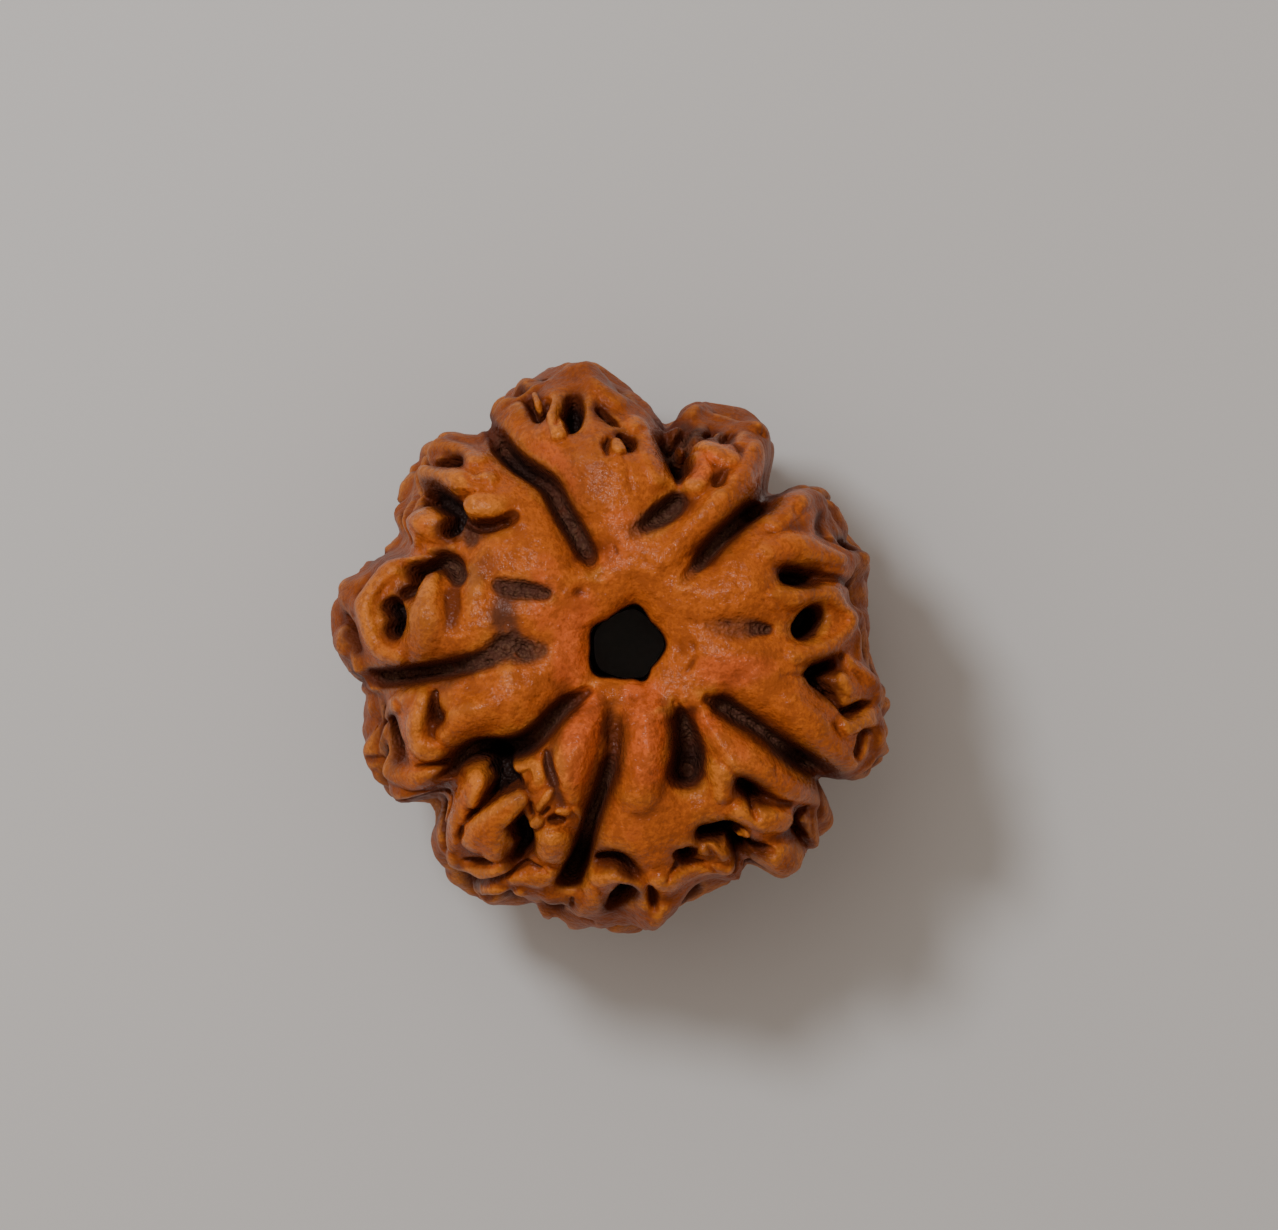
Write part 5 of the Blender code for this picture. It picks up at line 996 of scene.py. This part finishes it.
def closed_mesh(name, points, fields):
    """Closed quad grid in metres, with one float for each vertex and field."""
    rows, columns = points.shape[:2]
    index = np.arange(rows * columns).reshape(rows, columns)
    right = np.roll(index, -1, axis=1)
    faces = np.stack((index, np.roll(index, -1, axis=0), np.roll(right, -1, axis=0), right), axis=-1)
    mesh = bpy.data.meshes.new(name)
    mesh.vertices.add(rows * columns)
    mesh.vertices.foreach_set("co", (points * MM).ravel())
    mesh.loops.add(faces.size)
    mesh.loops.foreach_set("vertex_index", faces.ravel().astype(np.int32))
    mesh.polygons.add(rows * columns)
    mesh.polygons.foreach_set("loop_start", np.arange(0, faces.size, 4, dtype=np.int32))
    mesh.update(calc_edges=True)
    for field_name, field in fields.items():
        layer = mesh.attributes.new(field_name, "FLOAT", "POINT")
        layer.data.foreach_set("value", field.ravel().astype(np.float32))
    mesh.shade_smooth()
    return mesh


def thinned(bead, triangles):
    """The piece's mesh with fewer faces, most of them left where the surface bends most."""
    thin = bead.modifiers.new("fewer faces", "DECIMATE")
    thin.decimate_type = "COLLAPSE"
    thin.ratio = triangles / (2 * len(bead.data.polygons))
    bpy.context.view_layer.update()
    evaluated = bead.evaluated_get(bpy.context.evaluated_depsgraph_get())
    mesh = bpy.data.meshes.new_from_object(evaluated)
    bead.modifiers.remove(thin)
    return mesh


def seat(mesh, box):
    """Puts the middle of the mesh over the middle of a box and its lowest point on the box's floor."""
    vertices = np.empty(len(mesh.vertices) * 3)
    mesh.vertices.foreach_get("co", vertices)
    vertices = vertices.reshape(-1, 3)
    low, high = np.array(box[0]), np.array(box[1])
    middle = (vertices.max(axis=0) + vertices.min(axis=0)) / 2 - (low + high) / 2
    vertices -= (middle[0], middle[1], vertices[:, 2].min() - low[2])
    mesh.vertices.foreach_set("co", vertices.ravel())
    mesh.update()


class Socket:
    """A number in the material. Sums, products and the like of such numbers make math nodes."""

    def __init__(self, sheet, output):
        self.sheet = sheet
        self.output = output

    def maths(self, operation, *others):
        """A math node of this number and the others."""
        values = dict(enumerate((self,) + others))
        return self.sheet.add("ShaderNodeMath", {"operation": operation}, values)["Value"]

    def __add__(self, other):
        return self.maths("ADD", other)

    def __mul__(self, other):
        return self.maths("MULTIPLY", other)

    def __sub__(self, other):
        return self.maths("SUBTRACT", other)

    def __rsub__(self, other):
        return self * -1.0 + other

    __radd__ = __add__
    __rmul__ = __mul__

    def most(self, other):
        """The larger of this number and another."""
        return self.maths("MAXIMUM", other)

    def between(self, start, end):
        """0 up to start, 1 from end, smooth between."""
        return self.sheet.add("ShaderNodeMapRange", {"interpolation_type": "SMOOTHSTEP"},
                              {"Value": self, "From Min": start, "From Max": end})["Result"]


class Sheet:
    """The node tree of one material, with a short way to add nodes."""

    def __init__(self, material):
        material.use_nodes = True
        self.tree = material.node_tree
        self.shader = self.tree.nodes["Principled BSDF"]

    def join(self, sockets, key, value):
        """Links a value into an input, or sets it there if it is a constant."""
        if isinstance(value, Socket):
            self.tree.links.new(value.output, sockets[key])
        else:
            sockets[key].default_value = value

    def add(self, kind, settings=None, values=None):
        """Adds a node with its settings and input values, and gives its outputs by name."""
        node = self.tree.nodes.new(kind)
        for name, value in (settings or {}).items():
            setattr(node, name, value)
        for key, value in (values or {}).items():
            self.join(node.inputs, key, value)
        return {output.name: Socket(self, output) for output in node.outputs if output.enabled}

    def field(self, name):
        """A number stored at each vertex of the mesh."""
        return self.add("ShaderNodeAttribute", {"attribute_name": name})["Fac"]

    def noise(self, spot, size, detail=2.0, roughness=0.5):
        """Cloudy noise from 0 to 1 with features of a size in millimetres."""
        return self.add("ShaderNodeTexNoise", {}, {"Vector": spot, "Scale": 1.0 / size, "Detail": detail,
                                                   "Roughness": roughness})["Fac"]

    def mix(self, share, first, second):
        """Colour between two colours by a share."""
        return self.add("ShaderNodeMix", {"data_type": "RGBA"}, {0: share, 6: first, 7: second})["Result"]

    def bump(self, height, strength, depth, normal=None):
        """Normal bent by a height, over a depth in millimetres."""
        values = {"Height": height, "Strength": strength, "Distance": depth * MM}
        if normal is not None:
            values["Normal"] = normal
        return self.add("ShaderNodeBump", {}, values)["Normal"]


def colour(value):
    """A colour property as four numbers for a socket."""
    return (*value, 1.0)


def stone_colour(sheet, field, cloud, finish):
    """Ochre and red by clouds and glows, flanks darkened as painted shade, crests lighter, partly in
    the stone's own tone and partly as painted highlight, then darker and darker: freckles, painted
    shade in low parts, stains with painted shadow along the fingers' sides, painted shade beside
    hollows and in hollows, grains, and last painted shade in the deepest parts and the bore."""
    middling, small = cloud["middling"], cloud["small"]
    shade_and_freckles, deep_shade = colour(finish.shade_and_freckles), colour(finish.deep_shade)
    warm = field["glow"] * 0.9 + (cloud["broad"] - 0.5) * 1.2
    warm = (warm + (middling - 0.5) * 0.9 + (small - 0.5) * 0.4).between(0.05, 0.95)
    skin = sheet.mix(warm, colour(finish.ochre), colour(finish.red))
    # Painted shade: the flanks are darkened, as they turn away from the light above.
    flank_shade = (field["flank"] * 0.8 + (middling - 0.5) * 0.3).between(0.05, 0.9)
    skin = sheet.mix(flank_shade, skin, colour(finish.flank_shade))
    # Crests lightened: partly the stone's own yellower tone, partly painted highlight.
    crest_tone_and_highlight = field["crest"] - 0.5 + (small - 0.5) * 0.15 + (cloud["broad"] - 0.5) * 0.2
    skin = sheet.mix(crest_tone_and_highlight.between(0.02, 0.42) * 0.6, skin, colour(finish.crest_tone_and_highlight))
    # Freckles: the stone's own mottling, in the same dark colour as the painted shade.
    skin = sheet.mix((small * middling).between(0.32, 0.18) * 0.4, skin, shade_and_freckles)
    skin = sheet.mix((middling + (small - 0.5) * 0.5).between(0.52, 0.72) * 0.28, skin, shade_and_freckles)
    # Painted shade in low parts, darker where a point lies below its wider surroundings.
    skin = sheet.mix((field["lowness"] + (small - 0.5) * 0.1).between(0.0, 0.36) * 0.85, skin, shade_and_freckles)
    # Stains, and painted shadow where the strips run along the fingers' sides.
    skin = sheet.mix(field["stain_and_shade"] * 0.85 * middling.between(0.2, 0.5), skin, colour(finish.stain_and_shade))
    # Painted shade on the skin beside pits and clefts.
    skin = sheet.mix((field["shade_beside_hollows"] + (middling - 0.5) * 0.35).between(0.05, 0.62) * 0.92, skin, shade_and_freckles)
    # Painted shade in the pits and clefts.
    skin = sheet.mix((field["hollow"] + (small - 0.5) * 0.16).between(0.25, 0.8), skin, shade_and_freckles)
    crumbs = sheet.mix((cloud["grains"] * 0.5 + small).between(0.45, 0.9), colour(finish.crumb),
                       colour(finish.stain_and_shade))
    crusted = field["crust"].most(field["hollow"] * 0.6) * middling.between(0.15, 0.45)
    skin = sheet.mix(crusted * 0.95, skin, crumbs)
    # Painted shade in the deepest parts of pits and clefts, less where grains lie.
    shaded = field["hollow"] - field["crust"] * 0.7 + (middling - 0.5) * 0.2
    skin = sheet.mix(shaded.between(0.4, 0.9), skin, deep_shade)
    # Painted shade: the bore is painted near black.
    return sheet.mix(field["bore"].between(0.4, 0.95), skin, deep_shade)


def stone_bumps(sheet, field, cloud, spot, finish):
    """Dimples over the whole skin, finer bumps on them, and grains in the clefts and pits."""
    normal = sheet.bump(sheet.noise(spot, DIMPLE_SIZE, 2.0, 0.5), 0.7, finish.skin_bump)
    normal = sheet.bump(sheet.noise(spot, FIBRE_SIZE, 3.0, 0.6), 0.5, finish.fine_bump, normal)
    grainy = cloud["grains"] * field["crust"].most(field["hollow"])
    return sheet.bump(grainy, 0.6, finish.crumb_bump, normal)


def stone_material(finish):
    """Oiled woody stone: ochre lobes, reddish fingers, pits darkened with painted shade and matt granular
    cleft floors.
    """
    material = bpy.data.materials.new("bead")
    sheet = Sheet(material)
    place = sheet.add("ShaderNodeTexCoord")["Object"]
    spot = sheet.add("ShaderNodeVectorMath", {"operation": "SCALE"},
                     {0: place, "Scale": 1.0 / MM})["Vector"]
    field = {name: sheet.field(name) for name in FIELDS}
    cloud = {
        "broad": sheet.noise(spot, BROAD_CLOUD),
        "middling": sheet.noise(spot, MIDDLING_CLOUD, 3.0, 0.6),
        "small": sheet.noise(spot, SMALL_CLOUD, 3.0, 0.65),
        "grains": sheet.add("ShaderNodeTexVoronoi", {"feature": "F1"},
                            {"Vector": spot, "Scale": 1 / GRAIN_SIZE})["Distance"],
    }
    dullness = field["crust"] * 0.45 + field["hollow"] * 0.3 + field["flank"] * 0.25
    roughness = dullness.maths("MINIMUM", 0.5) + (cloud["middling"] - 0.5) * 0.2 + finish.roughness
    inputs = sheet.shader.inputs
    sheet.join(inputs, "Base Color", stone_colour(sheet, field, cloud, finish))
    sheet.join(inputs, "Roughness", roughness)
    sheet.join(inputs, "Specular IOR Level", finish.specular)
    sheet.join(inputs, "IOR", finish.oil_index)
    sheet.join(inputs, "Normal", stone_bumps(sheet, field, cloud, spot, finish))
    return material


def floor_material(stage):
    """Plain pale paper."""
    material = bpy.data.materials.new("floor")
    sheet = Sheet(material)
    sheet.shader.inputs["Base Color"].default_value = colour(stage.floor_colour)
    sheet.shader.inputs["Roughness"].default_value = 0.9
    return material


def plain_floor(stage):
    """The square that the bead rests on."""
    half = stage.floor_size / 2
    mesh = bpy.data.meshes.new("floor")
    mesh.from_pydata([(-half, -half, 0), (half, -half, 0), (half, half, 0), (-half, half, 0)],
                     [], [(0, 1, 2, 3)])
    mesh.materials.append(floor_material(stage))
    return bpy.data.objects.new("floor", mesh)


def straight_camera(stage):
    """A camera that looks straight down. Its lens is the picture plane's width times the camera's
    height over the width seen."""
    lens = bpy.data.cameras.new("camera")
    lens.sensor_fit = "HORIZONTAL"
    lens.sensor_width = SENSOR
    lens.lens = SENSOR * stage.camera_height / stage.view_width
    lens.clip_start = 0.01
    lens.clip_end = 10.0
    camera = bpy.data.objects.new("camera", lens)
    camera.location = (stage.camera_x, stage.camera_y, stage.camera_height + BEAD_HEIGHT / 2 * MM)
    return camera


def even_light(stage):
    """Soft light from all round."""
    world = bpy.data.worlds.new("soft light")
    world.use_nodes = True
    background = world.node_tree.nodes["Background"]
    background.inputs["Color"].default_value = colour(stage.fill_tint)
    background.inputs["Strength"].default_value = stage.fill
    return world


def disk_light(name, stage, size, power, distance, tint):
    """A round light that shines on the middle of the floor from the stage's main direction."""
    light = bpy.data.lights.new(name, "AREA")
    light.shape = "DISK"
    light.size = size
    light.energy = power
    light.color = tint
    aim = Vector((math.cos(stage.key_heading) * math.cos(stage.key_height),
                  math.sin(stage.key_heading) * math.cos(stage.key_height),
                  math.sin(stage.key_height)))
    lamp = bpy.data.objects.new(name, light)
    lamp.location = aim * distance
    lamp.rotation_euler = aim.to_track_quat("Z", "Y").to_euler()
    return lamp


class BeadShape(bpy.types.PropertyGroup):
    """How fine the bead's surface is and how rough its skin."""
    columns: bpy.props.IntProperty(name="Columns", description="Points of the grid round the bore",
                                   default=1240, min=90, max=2000)
    rows: bpy.props.IntProperty(name="Rows", description="Points of the grid along the section",
                                default=640, min=60, max=1200)
    triangles: bpy.props.IntProperty(name="Triangles", description="Triangles of the finished bead",
                                     default=197000, min=10000, max=199000)
    skin_height: bpy.props.FloatProperty(name="Skin height", description="Height of the skin's bumps, mm",
                                         default=0.060, min=0.0, max=0.3)
    crust_height: bpy.props.FloatProperty(name="Crust height",
                                          description="Height of the cleft's grains, mm",
                                          default=0.16, min=0.0, max=0.5)


def colour_property(name, description, default):
    """A linear colour without alpha."""
    return bpy.props.FloatVectorProperty(name=name, description=description, default=default,
                                         subtype="COLOR", size=3, min=0.0, max=1.0)


class BeadFinish(bpy.types.PropertyGroup):
    """Colours and gloss of the stone, with the colours of its painted shade and highlight."""
    ochre: colour_property("Ochre", "Main colour of the lobes", (0.555, 0.125, 0.016))
    red: colour_property("Red", "Warmer parts by the bore and on the fingers", (0.70, 0.134, 0.029))
    # Lighter crest colour, partly the stone's own tone and partly painted highlight.
    crest_tone_and_highlight: colour_property("Pale", "Worn crests", (0.80, 0.27, 0.045))
    # Painted shade on the flanks.
    flank_shade: colour_property("Dull", "Flanks of the bead", (0.30, 0.066, 0.009))
    # Dark colour of the painted shade in low parts, beside and in hollows, and of the freckles.
    shade_and_freckles: colour_property("Rim", "Edges of pits and clefts", (0.105, 0.019, 0.006))
    # Colour of the stains, of the painted shadow strips beside the fingers, and of dark grains.
    stain_and_shade: colour_property("Stain", "Brown stains", (0.078, 0.028, 0.017))
    crumb: colour_property("Crumb", "Grains on the cleft floors", (0.128, 0.060, 0.033))
    # Near black painted shade in the deepest parts and the bore.
    deep_shade: colour_property("Deep", "Bottoms of pits and clefts", (0.020, 0.008, 0.006))
    roughness: bpy.props.FloatProperty(name="Roughness", description="Roughness of the skin",
                                       default=0.17, min=0.0, max=1.0, subtype="FACTOR")
    specular: bpy.props.FloatProperty(name="Oil", description="Strength of the oily reflection",
                                      default=0.75, min=0.0, max=1.0, subtype="FACTOR")
    oil_index: bpy.props.FloatProperty(name="Oil index", description="How much the oil bends light",
                                       default=1.2, min=1.0, max=2.0)
    skin_bump: bpy.props.FloatProperty(name="Skin bump", description="Depth of the skin's dimples, mm",
                                       default=0.17, min=0.0, max=0.5)
    fine_bump: bpy.props.FloatProperty(name="Fine bump", description="Depth of the finest bumps, mm",
                                       default=0.10, min=0.0, max=0.5)
    crumb_bump: bpy.props.FloatProperty(name="Crumb bump", description="Depth between the grains, mm",
                                        default=0.25, min=0.0, max=0.8)


class BeadStage(bpy.types.PropertyGroup):
    """Floor, light and camera."""
    floor_colour: colour_property("Floor", "Colour of the floor", (0.64, 0.632, 0.622))
    floor_size: bpy.props.FloatProperty(name="Floor size", description="Width of the floor",
                                        default=3.0, min=0.2, unit="LENGTH")
    key_power: bpy.props.FloatProperty(name="Key light", description="Power of the main light, W",
                                       default=0.185, min=0.0)
    key_size: bpy.props.FloatProperty(name="Key size", description="Width of the main light",
                                      default=0.038, min=0.005, unit="LENGTH")
    key_distance: bpy.props.FloatProperty(name="Key distance", description="Main light from the middle",
                                          default=0.20, min=0.05, unit="LENGTH")
    key_height: bpy.props.FloatProperty(name="Key elevation", description="Main light above the floor",
                                        default=math.radians(63.0), subtype="ANGLE")
    key_heading: bpy.props.FloatProperty(name="Key heading", description="Where the main light stands",
                                         default=math.radians(135.0), subtype="ANGLE")
    key_tint: colour_property("Key tint", "Colour of the main light", (0.95, 0.97, 1.0))
    fill: bpy.props.FloatProperty(name="Fill", description="Strength of the even light all round",
                                  default=0.38, min=0.0)
    fill_tint: colour_property("Fill tint", "Colour of the even light", (1.0, 0.87, 0.76))
    sky_power: bpy.props.FloatProperty(name="Broad light",
                                       description="Power of the broad light behind the key, W",
                                       default=0.55, min=0.0)
    sky_size: bpy.props.FloatProperty(name="Broad size", description="Width of the broad light",
                                      default=0.5, min=0.05, unit="LENGTH")
    sky_distance: bpy.props.FloatProperty(name="Broad distance",
                                          description="Broad light from the middle",
                                          default=0.6, min=0.05, unit="LENGTH")
    sky_tint: colour_property("Broad tint", "Colour of the broad light", (1.0, 0.92, 0.85))
    camera_x: bpy.props.FloatProperty(name="Camera X", description="Camera to the right of the middle",
                                      default=0.00121, unit="LENGTH")
    camera_y: bpy.props.FloatProperty(name="Camera Y", description="Camera up from the middle",
                                      default=0.00145, unit="LENGTH")
    camera_height: bpy.props.FloatProperty(name="Camera height",
                                           description="Camera above the widest level",
                                           default=0.4, min=0.05, unit="LENGTH")
    view_width: bpy.props.FloatProperty(name="View width", description="Width seen at the widest level",
                                        default=0.05517, min=0.01, unit="LENGTH")


class BEAD_OT_add_stone(bpy.types.Operator):
    """Adds the bead itself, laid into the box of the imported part"""
    bl_idname = "bead.add_stone"
    bl_label = "Add the bead"

    def execute(self, context):
        points, fields = bead_grid(context.scene.bead_shape)
        rough_mesh = closed_mesh("bead_stone", points, fields)
        stone = bpy.data.objects.new("bead_stone", rough_mesh)
        context.scene.collection.objects.link(stone)
        stone.data = thinned(stone, context.scene.bead_shape.triangles)
        bpy.data.meshes.remove(rough_mesh)
        seat(stone.data, BEAD_BOX)
        stone.data.materials.append(stone_material(context.scene.bead_finish))
        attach(stone, "root")
        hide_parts("rudraksha_bead")
        return {"FINISHED"}


class BEAD_OT_add_stage(bpy.types.Operator):
    """Adds the floor, the lights and the camera"""
    bl_idname = "bead.add_stage"
    bl_label = "Add the stage"

    def execute(self, context):
        stage = context.scene.bead_stage
        key = disk_light("key", stage, stage.key_size, stage.key_power, stage.key_distance,
                         stage.key_tint)
        sky = disk_light("sky", stage, stage.sky_size, stage.sky_power, stage.sky_distance,
                         stage.sky_tint)
        sky.visible_glossy = False
        floor = plain_floor(stage)
        camera = straight_camera(stage)
        for item in (floor, key, sky, camera):
            context.scene.collection.objects.link(item)
        context.scene.camera = camera
        context.scene.world = even_light(stage)
        return {"FINISHED"}


class BEAD_PT_panel(bpy.types.Panel):
    """The steps of the bead in the sidebar"""
    bl_idname = "BEAD_PT_panel"
    bl_label = "Rudraksha bead"
    bl_space_type = "VIEW_3D"
    bl_region_type = "UI"
    bl_category = "Bead"

    def draw(self, context):
        for title, group, operator in (("Shape", context.scene.bead_shape, "bead.add_stone"),
                                       ("Finish", context.scene.bead_finish, None),
                                       ("Stage", context.scene.bead_stage, "bead.add_stage")):
            box = self.layout.box()
            box.label(text=title)
            for name in group.__annotations__:
                box.prop(group, name)
            if operator:
                box.operator(operator)


CLASSES = (BeadShape, BeadFinish, BeadStage, BEAD_OT_add_stone, BEAD_OT_add_stage, BEAD_PT_panel)


def register():
    """Makes the property groups, the operators and the panel known."""
    for item in CLASSES:
        bpy.utils.register_class(item)
    bpy.types.Scene.bead_shape = bpy.props.PointerProperty(type=BeadShape)
    bpy.types.Scene.bead_finish = bpy.props.PointerProperty(type=BeadFinish)
    bpy.types.Scene.bead_stage = bpy.props.PointerProperty(type=BeadStage)


def unregister():
    """Takes them away again."""
    del bpy.types.Scene.bead_shape
    del bpy.types.Scene.bead_finish
    del bpy.types.Scene.bead_stage
    for item in reversed(CLASSES):
        bpy.utils.unregister_class(item)


def main():
    """Runs every step in order."""
    register()
    bpy.ops.bead.add_stone()
    bpy.ops.bead.add_stage()


if __name__ == "__main__":
    main()
